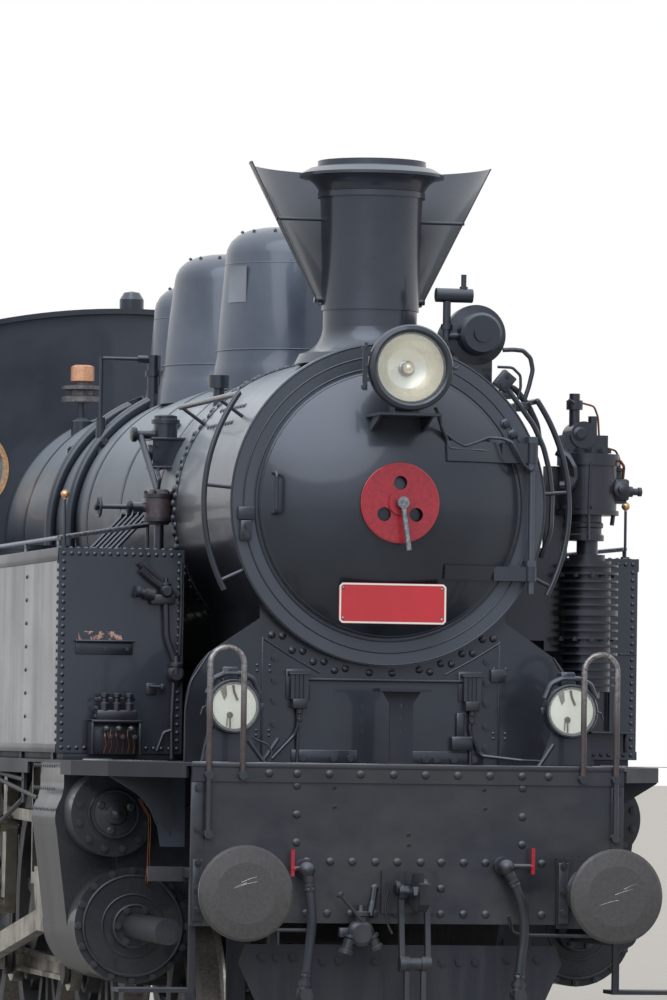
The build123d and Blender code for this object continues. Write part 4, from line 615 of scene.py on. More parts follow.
# the boiler and the smokebox lie under open sky: broad gloss, and their upper halves painted pale bluish as the sky's
# reflection
skyGloss = {"rough": (0.36, 0.48), "topColour": "#a9b5c1", "topDust": 0.72, "topFrom": -0.05, "ior": 1.8, "coat": 0.15}
ownSettings = {
    "boiler": skyGloss,
    "smokebox": {**skyGloss, "rough": (0.3, 0.44)},
    # the tanks' upright plates lighter than the plain paint, as painted sky reflection; the tanks' sides bulge a little
    # between their rivet rows
    "side_tanks": {
        "colour": "#1d2026", "faded": "#292d34", "dentScale": 2.6, "dentStretch": (0.3, 1.0, 0.06), "dentDepth": 0.022,
    },
    # the cab's front and the chimney a little lighter than the plain paint
    "cab_front": {"colour": "#22252c", "faded": "#2f333a"},
    "chimney": {"colour": "#25282f", "faded": "#333740"},
}
slotMaterials = {slotName: make(name, settings) for slotName, (make, name, settings) in finishes.items()}
for part in frame["record"]["subparts"]:
    node, slotName = part["node"], part["material_slot"]
    finish = slotMaterials[slotName]
    if node in zonesOf or node in ownSettings:
        make, name, settings = finishes[slotName]
        own = {**settings, **ownSettings.get(node, {}), "zones": zonesOf.get(node, [])}
        finish = make(name + "On" + node.title().replace("_", ""), own)
    piece = frame["nodes"][node]
    piece.data.materials.clear()
    piece.data.materials.append(finish)
# oxidised copper of the small pipes
copper = machinedSteel("dulledCopperPipe", {
    "colour": "#7d4f37", "grease": "#46302a", "metallic": 0.9, "rough": (0.3, 0.5), "patchScale": 9.0,
    "marks": (1.0, 1.0, 1.0),
})
# silvered dish of the headlamp, yellowed with age
silveredDish = machinedSteel("silveredDish", {
    "colour": "#f6efdc", "grease": "#dfe9ea", "metallic": 0.35, "rough": (0.2, 0.32), "patchScale": 7.0,
    "marks": (1.0, 1.0, 1.0),
})
# steel kept bright by hands, boots and rubbing
brightSteel = machinedSteel("handledSteel", {
    "colour": "#9ea1a8", "grease": "#5d5c5f", "metallic": 0.95, "rough": (0.22, 0.42), "patchScale": 8.0,
    "marks": (1.0, 1.0, 0.2),
})
# white enamel behind the marker lamps' lenses
lampWhite = paintedMetal("markerLampEnamel", {
    **paint, "colour": "#eef2ea", "faded": "#dfe6dd", "dust": 0.1, "topDust": 0.0, "rough": (0.3, 0.4),
})
# bare greyed sheet of the small blank plate
plateGrey = paintedMetal("greyedPlateSheet", {
    **paint, "colour": "#6a717c", "faded": "#808792", "dust": 0.0, "rough": (0.3, 0.45),
})
# black enamel on the domes, made a lighter bluish grey as painted sky reflection
paintedSkyLitEnamel = paintedMetal("steamGreyedEnamel", {
    **paint, "colour": "#3d4450", "faded": "#555d6a", "rough": (0.28, 0.42), "dentScale": 2.5, "dentDepth": 0.012,
    "dust": 0.0,
})
# red and white enamel on the door's trim
redEnamel = paintedMetal("redHandleEnamel", {**finishes["plate_red"][2], "colour": "#b5222c", "faded": "#8e1c24"})
whiteEnamel = paintedMetal("whiteBorderEnamel", {
    **paint, "colour": "#e4e2dd", "faded": "#cfcbc3", "dust": 0.2, "rough": (0.25, 0.4), "dentDepth": 0.0005,
})
# dark brownish marks inside the marker lamps
darkLampMarkPaint = paintedMetal("rustStainedBlack", {
    **castIron, "colour": "#2a2624", "faded": "#4c3b33", "rough": (0.5, 0.75), "specks": 0.4,
})
# painted shadow in empty bolt holes: flat black discs where the holes are
holeShadowBlack = paintedMetal("sootInHoles", {
    **castIron, "colour": "#0b0b0c", "faded": "#161617", "dust": 0.0, "coat": 0.0, "rough": (0.7, 0.9),
})
print("finishes given to", len(frame["nodes"]), "nodes")


# Brake hoses on the part's routes, in millimetres; lengths and the diameter in metres
hoses = {
    "right": {"route": [(-493, 430, 1095), (-470, 428, 945), (-482, 443, 790), (-500, 440, 640)], "length": 0.458},
    "left": {
        "route": [
            (478, 430, 1120), (513, 428, 1050), (540, 432, 965), (546, 438, 850), (530, 442, 740), (520, 440, 640),
        ],
        "length": 0.494,
    },
}
hoseDiameter = 0.045
hoseClamp = {
    "fromEnd": 28, "boltOut": 0.027,
    "rings": [(24, -14), (27, -13, -4), (24.5, 0), (27, 4, 13), (24, 14)],
}


def brakeHose(side, s):
    data = bpy.data.curves.new("brakeHose_" + side, "CURVE")
    follow(data, s["route"], hoseDiameter / 2, 12, 6)
    data.materials.append(slotMaterials["hose_rubber"])
    hose = bpy.data.objects.new("brakeHose_" + side, data)
    bpy.context.scene.collection.objects.link(hose)
    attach(hose, "root")
    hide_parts("hose_front_" + side)
    # clamps that hold the rubber on its spigots, and their bolts
    for name, here, ahead in (("top", s["route"][0], s["route"][1]), ("foot", s["route"][-1], s["route"][-2])):
        way = (Vector(ahead) - Vector(here)).normalized()
        centre = Vector(here) + way * hoseClamp["fromEnd"]
        clamp = turned(hoseClamp["rings"], centre, way, 24)
        bolt = spread(hexBolt(0.007, 0.008), [(at(*centre) + Vector(front) * hoseClamp["boltOut"], front)])
        keep([clamp, bolt], f"hoseClamp_{side}_{name}", "iron")


for side, s in hoses.items():
    brakeHose(side, s)
print("hoses hung")

# radius and height of each size, in metres
fastenerSizes = {"beam": (0.0200, 0.010), "apron": (0.0190, 0.012), "tank": (0.011, 0.006)}


def rivets(name, size, places, slotName, form=rivet):
    keep(spread(form(*fastenerSizes[size]), places), name, slotName, angle=60)


# Buffer beams: rivets, bolts, plugged holes and the strips at their ends
beamY = 514
beamRows = {
    (502, 1595): (-672, -539, -385, -236, -78, 75, 230, 385, 540, 668),
    (beamY, 1188): (-485, -373, -268, -157, -52, 60, 159, 266, 372, 482, 643),
    (beamY, 1066): (-159, 158),
    (beamY, 947): (-485, -385, -272, -159, -57, 158, 268, 375, 645),
}
beamSpots = [(x, y, z) for (y, z), row in beamRows.items() for x in row]
beamSpots += [(x, beamY, z) for x in (-536, 547) for z in (1540, 1405, 1275)]
rivets("beamRivets", "beam", again(spots(beamSpots), otherEnd), "beam_black")
holes = [(-357, 1530), (-355, 1439), (1, 1315), (2, 1266), (362, 1528), (368, 1439)]
holes = again(spots(holes, y=beamY), otherEnd)
bpy.ops.mesh.primitive_torus_add(major_radius=0.0105, minor_radius=0.0015, major_segments=16, minor_segments=6)
keep(spread(bpy.context.object, holes), "beamHoleRims", "beam_black")
# the holes' dark is painted shadow on flat discs
keep(spread(rivet(0.0095, 0.0012), holes), "beamHoles", "beam_black", holeShadowBlack)


def beamTrim():
    # strips folded round the beam's ends, the buffers' base plates and the base angle on the platform's edge
    made = []
    for side in (-1, 1):
        made.append(rounded((side * 977, 508, 1030), (side * 1037, 515, 1552)))
        made += [rounded((side * x - 24, 478, 908), (side * x + 24, 492, 1192)) for x in (742, 1008)]
    return joined(made + [rounded((-1037, 496, 1621), (1037, 516, 1643), 4)])


keep(frontAndRear(beamTrim), "beamTrim", "beam_black")
bolts = [(side * 1007, 508, z) for side in (-1, 1) for z in (1527, 1338, 1120)]
bolts += [(side * x, 478, z) for side in (-1, 1) for x in (742, 1008) for z in (958, 1054, 1178)]
rivets("beamBolts", "apron", again(spots(bolts), otherEnd), "beam_black", hexBolt)
print("beams riveted")


# Apron: joint strips, columns of bolts, the bolted flange round the smokebox, oil pipes and small blocks
apron = {"stripX": (-584, 574), "columnX": (-524, 512), "columnZ": (2140, 2036, 1938, 1827, 1723)}
apronBlocks = (
    # opposite corners, edge
    ((-440, 1096, 1641), (-118, 1106, 1706), 3), ((58, 1096, 1641), (500, 1106, 1706), 3),
    ((-470, 1098, 1945), (-352, 1106, 2088), 3), ((372, 1098, 1945), (490, 1106, 2088), 3),
    ((528, 1078, 2040), (600, 1106, 2100), 3), ((362, 1082, 1772), (402, 1106, 1890), 5),
    ((335, 1060, 1712), (440, 1106, 1778), 6),
)
made = [rounded((x - 5, 1100, 1642), (x + 5, 1106, 2236), 1.5) for x in apron["stripX"]]
made += [rounded(*block) for block in apronBlocks]
for side in (-1, 1):
    made.append(bent(5, [(side * 577, 2229), (side * 443, 2146), (side * 305, 2072)], 20, y=1102))
    made.append(bent(5, [(side * x, z) for x, z in ((954, 1645), (954, 1890), (930, 2020), (840, 2160))], 60, y=1102))
keep(made, "apronStrips", "smokebox_black")
bolts = [(x, 1105, z) for x in apron["columnX"] for z in apron["columnZ"]]
bolts += [(x, 1096, 1668) for x in (-387, -235, -150, 112, 214, 266, 353, 450)]
rivets("apronBolts", "apron", spots(bolts), "smokebox_black", hexBolt)
flange = [(541, 2248), (489, 2244), (441, 2177), (389, 2174), (338, 2124), (285, 2125), (233, 2085), (180, 2094)]
ringBolts = [(-x, z) for x, z in flange] + [(-63, 2077), (48, 2076)] + flange
rivets("smokeboxFlangeBolts", "apron", spots(ringBolts, y=1105), "smokebox_black")
small = [(x, z) for x in (-610, -548, 548, 606) for z in (2103, 2076, 1794, 1770)]
keep(spread(rivet(0.008, 0.005), spots(small, y=1105)), "apronSmallRivets", "smokebox_black")
pipes(45, "smokebox_black", {
    "oilPipeRight": (8, 0, [(-414, 1080, 1945), (-414, 1080, 1815), (-430, 1085, 1772), (-536, 1085, 1660)]),
    "oilPipeLeft": (8, 0, [
        (430, 1080, 1945), (428, 1080, 1800), (480, 1080, 1688), (680, 1010, 1666), (745, 800, 1664),
    ]),
    "lampBraceRight": (10, 690, [(-735, 1747), (-655, 1640)]),
    "lampBraceRightInner": (10, 900, [(-546, 1757), (-625, 1640)]),
    "lampBraceLeft": (10, 690, [(738, 1747), (668, 1640)]),
    "lampStayRight": (8, 0, [(-933, 800, 1640), (-909, 800, 1759), (-880, 740, 1830)]),
    "lampStayLeft": (8, 0, [(933, 800, 1640), (909, 800, 1759), (880, 740, 1830)]),
    "conduitLoopRight": (5, 700, [(-745, 1790), (-700, 1752), (-640, 1730), (-618, 1690), (-628, 1642)]),
})
# lids, glands and drip cocks of the two oil boxes
made = []
for x in (-412, 432):
    made.append(rounded((x - 34, 1046, 1900), (x + 34, 1104, 1946), 5))
    gland = [(16, 0, 22), (9, 26, 44), (13, 46, 58), (6, 62)]
    made.append(turned(gland, (x + 4, 1075, 1900), down, 20))
    made.append(rounded((x - 52, 1040, 2062), (x + 52, 1104, 2068), 2))
    made += [bent(4, [(x + dx, 2060), (x + dx, 1950)], 5, y=1048) for dx in (-20, 0, 20)]
keep(made, "oilBoxFittings", "iron")
print("apron dressed")


# Smokebox: raised rings on the front plate, rivets round the shell and two joint straps
made = [ringOf(radius, 4, (0, 1017, boilerZ), segments=96) for radius in (764, 706, 652)]
made += [band(745, 4, 1128, 60), band(745, 4, 2505, 90)]
keep(made, "smokeboxRings", "smokebox_black", angle=50)
shellRows = ((1150, 44, 0), (2478, 64, 0), (2530, 64, 0.5))  # y, count, share of a step by which the row is turned
places = [
    spot for y, count, offset in shellRows
    for spot in aroundBoiler(749, y, [360 * (step + offset) / count for step in range(count)])
]
rivets("smokeboxRivets", "apron", places, "smokebox_black")
# a patch plate with its bolts on the shell's right side, and a latch block on the ring
patch = [spot for turn in (139, 147) for step in range(9) for spot in aroundBoiler(746, 1700 + 70 * step, [turn])]
keep(spread(rivet(0.014, 0.008), patch), "smokeboxPatchRivets", "smokebox_black")
made = [rounded((-735, 985, 2790), (-655, 1016, 2850), 5), rounded((-725, 975, 2690), (-672, 1016, 2786), 6)]
made.append(spread(hexBolt(0.016, 0.012), spots([(-698, 2715), (-698, 2762)], y=975)))
keep(made, "ringLatch", "smokebox_black")
nut = [(26, 0, 10), (17, 14, 24), (8, 26)]
keep([turned(nut, (x, 1018, z), front, 6) for x, z in ((566, 3274), (603, 3224))], "ringNuts", "smokebox_black")


# Boiler: thin cleading straps
straps = {"y": (2600, 3060, 4060, 5010, 6060, 6960, 7560), "radius": 730, "width": 55, "thick": 2.5}
made = [band(straps["radius"], straps["thick"], y, straps["width"]) for y in straps["y"]]
keep(made, "boilerStraps", "black_paint")
print("boiler strapped")


# Number plate: a raised white border with cut corners
plate = {"x": (-276, 245), "z": (2305, 2498), "y": 838, "margin": 2, "line": 8, "corner": 13, "raised": 2.5}


def plateBorder(s):
    wide, tall = [high - low - 2 * s["margin"] for low, high in (s["x"], s["z"])]
    centre = (sum(s["x"]) / 2, s["y"], sum(s["z"]) / 2)
    bpy.ops.mesh.primitive_plane_add(size=1, location=at(*centre), rotation=(radians(90), 0, 0))
    border = bpy.context.object
    border.scale = (wide / 1000, tall / 1000, 1)
    only(border)
    bpy.ops.object.transform_apply(location=True, rotation=True, scale=True)
    return shape(
        border,
        lambda: bpy.ops.mesh.bevel(offset=s["corner"] / 1000, segments=1, affect="VERTICES"),
        selectAll,
        lambda: bpy.ops.mesh.inset(thickness=s["line"] / 1000),
        lambda: bpy.ops.mesh.delete(type="FACE"),
        selectAll,
        lambda: push(0, -s["raised"] / 1000, 0),
        faceOutward,
    )


keep(plateBorder(plate), "numberPlateBorder", "plate_red", whiteEnamel, "smokebox_door")
corners = [(x, z) for x in (-255, 224) for z in (2330, 2473)]
screws = spread(rivet(0.007, 0.004), spots(corners, y=plate["y"]))
keep(screws, "numberPlateScrews", "plate_red", brightSteel, "smokebox_door")


# Door: conduits to the headlamp, a rim strip, the cover disc's rim and the lever's hub
doorDish = {"radius": 636, "depth": 185, "crownY": 800, "edge": 630}


def onDoor(lift, *points):
    # points (x, z) in front of the dished door
    radius, depth = doorDish["radius"], doorDish["depth"]
    ball = (radius ** 2 + depth ** 2) / (2 * depth)
    found = []
    for x, z in points:
        reach = min(sqrt(x * x + (z - boilerZ) ** 2), doorDish["edge"])
        found.append((x, doorDish["crownY"] + ball - sqrt(ball * ball - reach ** 2) - lift, z))
    return found


# the cable's last points lie close to the hinge's axis, so it turns with the door
cable = [
    (150, 720, 3322), (190, 800, 3300), *onDoor(12, (217, 3225), (283, 3177), (333, 3154), (409, 3180), (464, 3202)),
    (532, 920, 3198), (572, 905, 3180), (592, 900, 3142), (630, 910, 3079), (671, 930, 3048), (691, 933, 3070),
    (690, 941, 3130), (686, 948, 3200),
]
keep(bent(7.5, cable, 40), "headlampCable", "hose_rubber", None, "smokebox_door")
conduit = [(158, 730, 3322), (200, 830, 3262), *onDoor(10, (242, 3184), (252, 3142), (413, 3138), (570, 3132))]
keep(bent(8, conduit, 30), "headlampConduit", "smokebox_black", None, "smokebox_door")
rim, discRim = ringOf(628, 5, (0, 984, boilerZ), segments=96), ringOf(187, 4, (0, 781, boilerZ), segments=48)
keep(rim, "doorRim", "smokebox_black", None, "smokebox_door")
keep(discRim, "coverDiscRim", "smokebox_black", redEnamel, "smokebox_door")
hub = turned([(30, 0, 8), (20, 12, 22), (12, 26)], (0, 744, boilerZ), front, 6)
keep(hub, "leverHub", "smokebox_black", slotMaterials["iron"], "smokebox_door")
print("door dressed")


# Headlamp: domed glass, silvered dish and bulb, broad front ring, hinge and catch
lampZ = 3506
pane = turned([(170, 0), (168, 4), (130, 9), (75, 12), (20, 13)], (0, 592, lampZ), front, 64)
keep(pane, "headlampGlass", "glass", None, "smokebox_door", 60)
dish = turned([
    (30, 0), (70, 5), (115, 24), (145, 54), (164, 98), (167, 98, 80), (148, 40), (117, 14), (70, -3), (30, -7),
], (0, 694, lampZ), front, 64)
keep(dish, "headlampDish", "smokebox_black", silveredDish, "smokebox_door", 50)
bezel = [(169, 0), (172, 10), (180, 16), (196, 12), (203, 2, -34), (197, -40), (169, -40, -10)]
made = [
    turned(bezel, (0, 588, lampZ), front, 72, True),
    turned([(9, 0, 150), (5, 154)], (-222, 606, 3430), up, 16),
    turned([(14, 0, 18), (8, 22)], (-222, 606, 3586), up, 16),
    turned([(14, 0, 16), (8, 20)], (-222, 606, 3418), down, 16),
    bent(6, [(200, 3512), (222, lampZ), (232, 3520)], 8, y=600),
    rounded((-222, 596, 3496), (-196, 616, 3520), 4),
]
keep(made, "headlampRing", "smokebox_black", None, "smokebox_door")
bulb = [(38, 0, 8), (30, 12, 9), (24, 9, 26), (16, 32, 28), (11, 28, 44), (4, 48)]
bulb = turned(bulb, (0, 692, lampZ), front, 32)
keep(bulb, "headlampBulb", "smokebox_black", brightSteel, "smokebox_door")


# Marker lamps: lens, the marks inside it, hood with its hinge and board, and the white back
lamp = {"x": 813, "z": 1904, "face": 648, "boardZ": (1650, 1800)}


def markerLamp(side, s):
    x, z, y, (foot, top) = side * s["x"], s["z"], s["face"], s["boardZ"]
    lens = turned([(115, 0, 3), (95, 9), (60, 13), (15, 15)], (x, y - 14, z), front, 40)
    back = turned([(114, 0, 4), (100, 5), (20, 6)], (x, y - 2, z), front, 40)
    marks = [
        bent(6, [(x - 8, z + 100), (x - 2, z + 66), (x + 14, z + 30)], 14, y=y - 11),
        bent(4, [(x - 21, z - 42), (x - 20, z - 100)], 5, y=y - 11),
        bent(3, [(x - 34, z - 50), (x - 36, z - 92)], 5, y=y - 11),
        turned([(13, 0), (15, 2, 5), (8, 7)], (x - 22, y - 9, z - 40), front, 16),
        plateFrom([(x - 72, z + 88), (x - 40, z + 98), (x - 36, z + 50), (x - 50, z + 28)], y - 11, 3),
    ]
    brow = [(-124, 60), (-96, 128), (-42, 154), (42, 154), (96, 128), (124, 60)]
    hood = [
        rounded((x - 50, y + 10, z + 116), (x + 22, y + 100, z + 186), 10),
        turned([(114, 0), (116, 8), (124, 8), (128, 0, -30), (114, -30)], (x, y - 10, z), front, 48, True),
        bent(14, [(x + dx, z + dz) for dx, dz in brow], 40, y=y + 20),
        rounded((x - 136 * side - 10, y + 6, z - 16), (x - 136 * side + 10, y + 22, z + 16)),
        bent(5, [(x + 126 * side, y + 10, z), (x + 146 * side, y + 4, z - 6), (x + 156 * side, y + 4, z - 40)], 8),
        plateFrom([(x - 140, foot), (x + 132, foot), (x + 84, top), (x - 84, top)], y + 44, 8),
    ]
    return lens, joined(marks), joined(hood), back


for name, turn in (("front", 0), ("rear", pi)):
    groups = [[], [], [], []]
    for side in (-1, 1):
        for group, form in zip(groups, markerLamp(side, lamp)):
            form.data.transform(form.matrix_world)
            form.matrix_world = Matrix.Identity(4)
            form.data.transform(Matrix.Rotation(turn, 4, "Z"))
            group.append(form)
    lenses, marks, hoods, backs = groups
    keep(lenses, "markerLenses_" + name, "glass", angle=60)
    keep(marks, "markerLampInners_" + name, "smokebox_black", darkLampMarkPaint)
    keep(hoods, "markerLampHoods_" + name, "smokebox_black")
    keep(backs, "markerLampBacks_" + name, "smokebox_black", lampWhite)
print("lamps glazed")


# Side tanks: close rivets at the corners, spaced ones on the long sides, edge strips
tank = {
    "x": 1446, "inner": 830, "y": (1807, 7600), "z": (1674, 2663), "edge": 24, "farEdge": 28,
    "columnCount": 25, "rowCount": 16, "longCount": 72, "lines": (2704, 3610, 4520, 5430, 6340, 7100), "pitch": 115,
}


def tankRivets(s):
    x, inner, (y0, y1), (z0, z1), edge, farEdge = s["x"], s["inner"], s["y"], s["z"], s["edge"], s["farEdge"]
    onFront, onSide, onTop = [], [], []
    for z in evenly(z0 + edge, z1 - farEdge, s["columnCount"]):
        onFront += [(inner + edge, y0, z), (x - edge, y0, z)]
        onSide += [(x, y0 + edge, z), (x, y1 - farEdge, z)]
    for across in evenly(inner + edge, x - edge, s["rowCount"])[1:-1]:
        onFront += [(across, y0, z0 + edge), (across, y0, z1 - farEdge)]
        onTop.append((across, y0 + 22, z1))
    onSide += [(x, y, z) for y in s["lines"] for z in range(z0 + 60, z1 - 60, s["pitch"])]
    for y in evenly(y0 + 80, y1 - 80, s["longCount"]):
        onSide.append((x, y, z0 + 30))
        onTop.append((x - 22, y, z1))
    return spots(onFront) + spots(onSide, leftward) + spots(onTop, up)


rivets("tankRivets", "tank", again(tankRivets(tank), otherSide), "black_paint")
made = []
for side in (-1, 1):
    for low, high in ((2600, 2664), (1674, 1716)):
        made.append(rounded((side * 1446, 1807, low), (side * 1452, 7600, high), 2))
keep(made, "tankEdgeStrips", "black_paint")
# bracket with three bolts on the right tank's front, and a strip on the left one
keep([
    rounded((-1366, 1762, 2211), (-1072, 1808, 2219)),
    rounded((-1360, 1799, 2150), (-1078, 1808, 2219), 4),
    rounded((1354, 1797, 2189), (1440, 1808, 2197), 2),
    spread(hexBolt(0.011, 0.008), spots([(x, 1799, 2178) for x in (-1330, -1218, -1108)])),
], "tankFrontBracket", "black_paint")
print("tanks riveted")


# Smokebox's left side: junction box, pipes and conduits to the generator
pipes(130, "smokebox_black", {"blowerPipe": (13, 1062, [
    (560, 3455), (589, 3437), (650, 3362), (717, 3273), (768, 3166), (797, 3057), (812, 2930), (808, 2769),
    (770, 1100, 2640),
])})
pipes(130, "hose_rubber", {
    "generatorFlex": (11, 1120, [
        (575, 3633), (628, 3636), (675, 3632), (712, 3598), (724, 3540), (706, 3462), (678, 3378),
    ]),
    "lampFlex": (7, 1100, [(545, 3550), (618, 3549), (658, 3512), (660, 3454), (643, 3383)]),
})
pipes(130, "frame_black", {"upperRail": (15, 1120, [(576, 3470), (640, 3446), (706, 3366), (748, 3280), (764, 3180)])})
junction = {"centre": (571, 1070, 3480), "lean": 38}
box = rounded((-38, 1040, -44), (38, 1100, 44), 6)
pivot, centre = at(0, 1070, 0), at(*junction["centre"])
lean = Matrix.Rotation(radians(junction["lean"]), 4, "Y")
box.data.transform(Matrix.Translation(centre) @ lean @ Matrix.Translation(-pivot))
made = [box, rounded((548, 1056, 3396), (610, 1104, 3440), 5), rounded((640, 1090, 3340), (700, 1150, 3384), 5)]
made.append(spread(hexBolt(0.014, 0.012), spots([(582, 3505), (556, 3462)], y=1040)))
keep(made, "junctionBox", "smokebox_black")


# Air pump: steam, oil and drain pipes, governor, cover bolts
pipes(45, "iron", {
    "pumpSteamPipe": (5, 1500, [
        (1040, 3405), (1070, 3409), (1131, 3394), (1152, 3342), (1160, 3219), (1194, 3193), (1242, 3181), (1263, 3143),
        (1267, 3040),
    ]),
    "pumpOilPipe": (7, 1410, [(1093, 3126), (1241, 3129), (1262, 3100), (1262, 1430, 3040)]),
}, copper)
pipes(45, "iron", {"pumpDrainPipe": (6, 1352, [(1079, 3116), (1072, 2912), (1073, 2743)])})
pumpLow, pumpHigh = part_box("air_pump")
pumpX, pumpY = 1090, (pumpLow.y + pumpHigh.y) * 500 + middle
pumpFoot = [(96, 0, 26), (84, 34, 60), (92, 66, 84), (84, 90, 150), (98, 158, 186)]
keep([
    rounded((1202, 1440, 2936), (1300, 1560, 3040), 12),
    turned([(46, 0, 14), (38, 20, 30), (22, 36, 62), (12, 66)], (1252, 1440, 2988), front, 24),
    turned([(26, 0, 30), (17, 36, 58), (22, 60, 76), (10, 80)], (1298, 1500, 2982), leftward, 20),
    turned([(34, 0, 12), (24, 18, 40), (34, 44, 58), (14, 62)], (1252, 1500, 3036), up, 20),
    bent(11, [(1238, 2940), (1238, 2900), (1228, 2816)], 20, y=1500),
    bent(27, [
        (935, 1440, 3172), (985, 1420, 3140), (1012, 3090), (1016, 3040), (990, 2998), (945, 1420, 2996),
    ], 45, y=1404),
    turned(pumpFoot, (pumpX, pumpY, 2738), up, 40),
    turned([(30, 0), (34, 4, 16), (22, 20, 30)], (1040, 1424, 3255), front, 28),
    bent(7, [(978, 3420), (1006, 3402)], 5, y=1404),
], "pumpGovernor", "iron")
made = [
    spread(hexBolt(0.013, 0.014), spots(circle((pumpX, pumpY, z), radius, range(0, 360, 30), level=True), up))
    for z, radius in ((3166, 118), (2890, 132), (2560, 150), (2250, 150))
]
keep(made, "pumpCoverBolts", "iron")
print("pump piped")


# Right tank's front: check valve, feed pipes, lubricator with its pumps and copper loops
def valveBody(x, y, z, size):
    # a globe valve with its bonnet and gland
    body = [(26, 0), (36, 10), (40, 26), (36, 44), (26, 56)]
    bonnet = [(24, 0, 34), (32, 36, 48), (14, 52), (12, 80)]
    return [
        turned([(radius * size, along) for radius, along in body], (x, y + 28 * size, z), front, 24),
        turned([[number * size for number in ring] for ring in bonnet], (x, y, z), up, 20),
    ]


pipes(60, "iron", {
    "tankFeedPipe": (15, 1770, [(-925, 2460), (-925, 2418), (-917, 2233), (-873, 2120), (-872, 2060)]),
    "tankDrainPipe": (11, 1770, [(-880, 2030), (-882, 1990), (-889, 1827), (-886, 1650)]),
    "tankBranchPipe": (9, 1766, [(-889, 1790), (-928, 1777), (-960, 1690)]),
    "tankSidePipe": (8, 1790, [(-846, 2600), (-846, 2340), (-852, 2150)]),
    "tankRodLever": (8, 1766, [(-1000, 2000), (-934, 1998)]),
})
union = [(28, 0, 40), (20, 46, 70), (30, 74, 92), (12, 96)]
keep(valveBody(-872, 1760, 2060, 1.1) + valveBody(-925, 1766, 2460, 0.8) + [
    rounded((-1000, 1752, 2395), (-880, 1792, 2445), 8),
    turned(union, (-985, 1760, 2440), (-1, 0, 0.2), 20),
    bent(16, [(-1048, 1760, 2562), (-1000, 1762, 2520), (-940, 1764, 2478), (-925, 1766, 2450)], 50),
    bent(16, [(-1060, 2600), (-1000, 2555), (-900, 2470), (-860, 2440)], 50, y=1790),
    rounded((-948, 1750, 1985), (-925, 1790, 2012), 4),
    rounded((-1010, 1798, 1960), (-960, 1808, 2016), 3),
], "tankFrontValves", "iron")
lubricator = {"x": (-1297, -1050), "y": (1650, 1790), "z": (1668, 1835), "pumps": (-1228, -1168, -1108)}


def lubricatorBox(s):
    (x0, x1), (y0, y1), (z0, z1) = s["x"], s["y"], s["z"]
    made = [
        rounded((x0, y0 + 30, z0), (x0 + 14, y1, z1)),
        rounded((x1 - 14, y0 + 30, z0), (x1, y1, z1)),
        rounded((x0, y0 + 24, z1 - 12), (x1, y1, z1)),
        rounded((x0 + 14, y1 - 40, z0), (x1 - 14, y1, z1 - 12)),
        rounded((x0 + 30, y0 + 50, z1), (x1 - 20, y1 - 10, z1 + 48), 8),
        rounded((-1258, y0 + 84, 1925), (-1076, y1 - 50, 1947), 6),
    ]
    pump = [(21, 0, 36), (15, 40, 62), (21, 66, 82), (8, 86)]
    for x in s["pumps"]:
        made.append(turned(pump, (x, 1720, z1 + 44), up, 18))
        made.append(turned([(17, 0, 26), (11, 30, 44), (5, 46)], (x, 1672, 1790), front, 6))
        made.append(turned([(14, 0, 22), (8, 26)], (x + 20, 1672, 1752), front, 6))
    made += [turned([(10, 0, 16), (5, 18)], (-1262, 1720, z), rightward, 6) for z in (1932, 1890, 1850)]
    return made


keep(lubricatorBox(lubricator), "lubricator", "iron")
made = []
for step, x in enumerate((-1232, -1206, -1178, -1150, -1122, -1096)):
    loop = [(x, 1668, 1786), (x - 4, 1652, 1758), (x + 6, 1656, 1716), (x + 2 * step - 6, 1668, 1676)]
    made.append(bent(4, loop, 16))
keep(made, "lubricatorPipes", "iron", copper)
# flanges, bolts and hand wheels on the feed valves beside the boiler
clackX, clackY, feedX, feedY = -800, 2640, -715, 2920
collar = [(30, 0), (34, 6, 22), (24, 28)]
bolts = spots(circle((clackX, clackY, 2962), 66, range(0, 360, 60), level=True), up)
bolts += spots(circle((feedX, feedY, 3346), 56, range(45, 360, 90), level=True), up)
bolts += spots([(x, z) for x in (-770, -640) for z in (3140, 3215)], y=feedY - 62)
keep([
    ringOf(48, 7, (-1098, clackY, 2895), leftward, 28),
    turned([(16, 0), (20, 6, 18), (10, 22)], (-1104, clackY, 2895), rightward, 16),
    turned(collar, (-935, clackY, 2895), rightward, 20),
    turned([(78, 0, 18)], (clackX, clackY, 2826), up, 28),
    turned([(78, 0, 18)], (clackX, clackY, 2944), up, 28),
    turned([(72, 0, 20), (58, 24, 40), (34, 46)], (feedX, feedY, 3326), up, 28),
    turned([(34, 0), (38, 6, 24), (26, 30)], (-862, feedY, 3270), rightward, 20),
    turned([(40, 0, 16)], (-790, feedY, 3180), rightward, 20),
    rounded((-800, feedY - 74, 3098), (-592, feedY + 74, 3112), 4),
    rounded((-800, feedY - 74, 3242), (-592, feedY + 74, 3256), 4),
    bent(9, [
        (clackX, clackY, 2985), (clackX, clackY - 20, 3040), (-770, feedY - 80, 3090), (-740, feedY - 40, 3104),
    ], 30),
    spread(hexBolt(0.011, 0.012), bolts),
], "feedValveFittings", "iron")
# left tank's front
keep([
    rounded((1175, 1640, 1800), (1400, 1806, 1812), 3),
    rounded((1175, 1790, 1712), (1190, 1806, 1800), 3),
    rounded((1385, 1790, 1712), (1400, 1806, 1800), 3),
    turned([(34, 0, 40), (22, 46, 80), (30, 84, 100), (12, 104)], (1205, 1720, 2040), up, 20),
    bent(13, [(1196, 2150), (1238, 2090), (1240, 2010), (1160, 2018)], 30, y=1720),
    bent(9, [(1290, 2600), (1290, 2300), (1300, 2080), (1300, 1812)], 40, y=1770),
], "leftTankFittings", "iron")
print("tank fronts fitted")


# Cylinders: cover rings, caps and bolts, brackets, oil pipes, the tanks' feet, rivets on the casing
covers = {
    # centre, then the bolts' circle and their angles
    "valve": ((1205, 1570, 1385), 172, range(15, 360, 30)),
    "piston": ((1100, 1600, 850), 262, [22.5 * step for step in range(16)]),
}


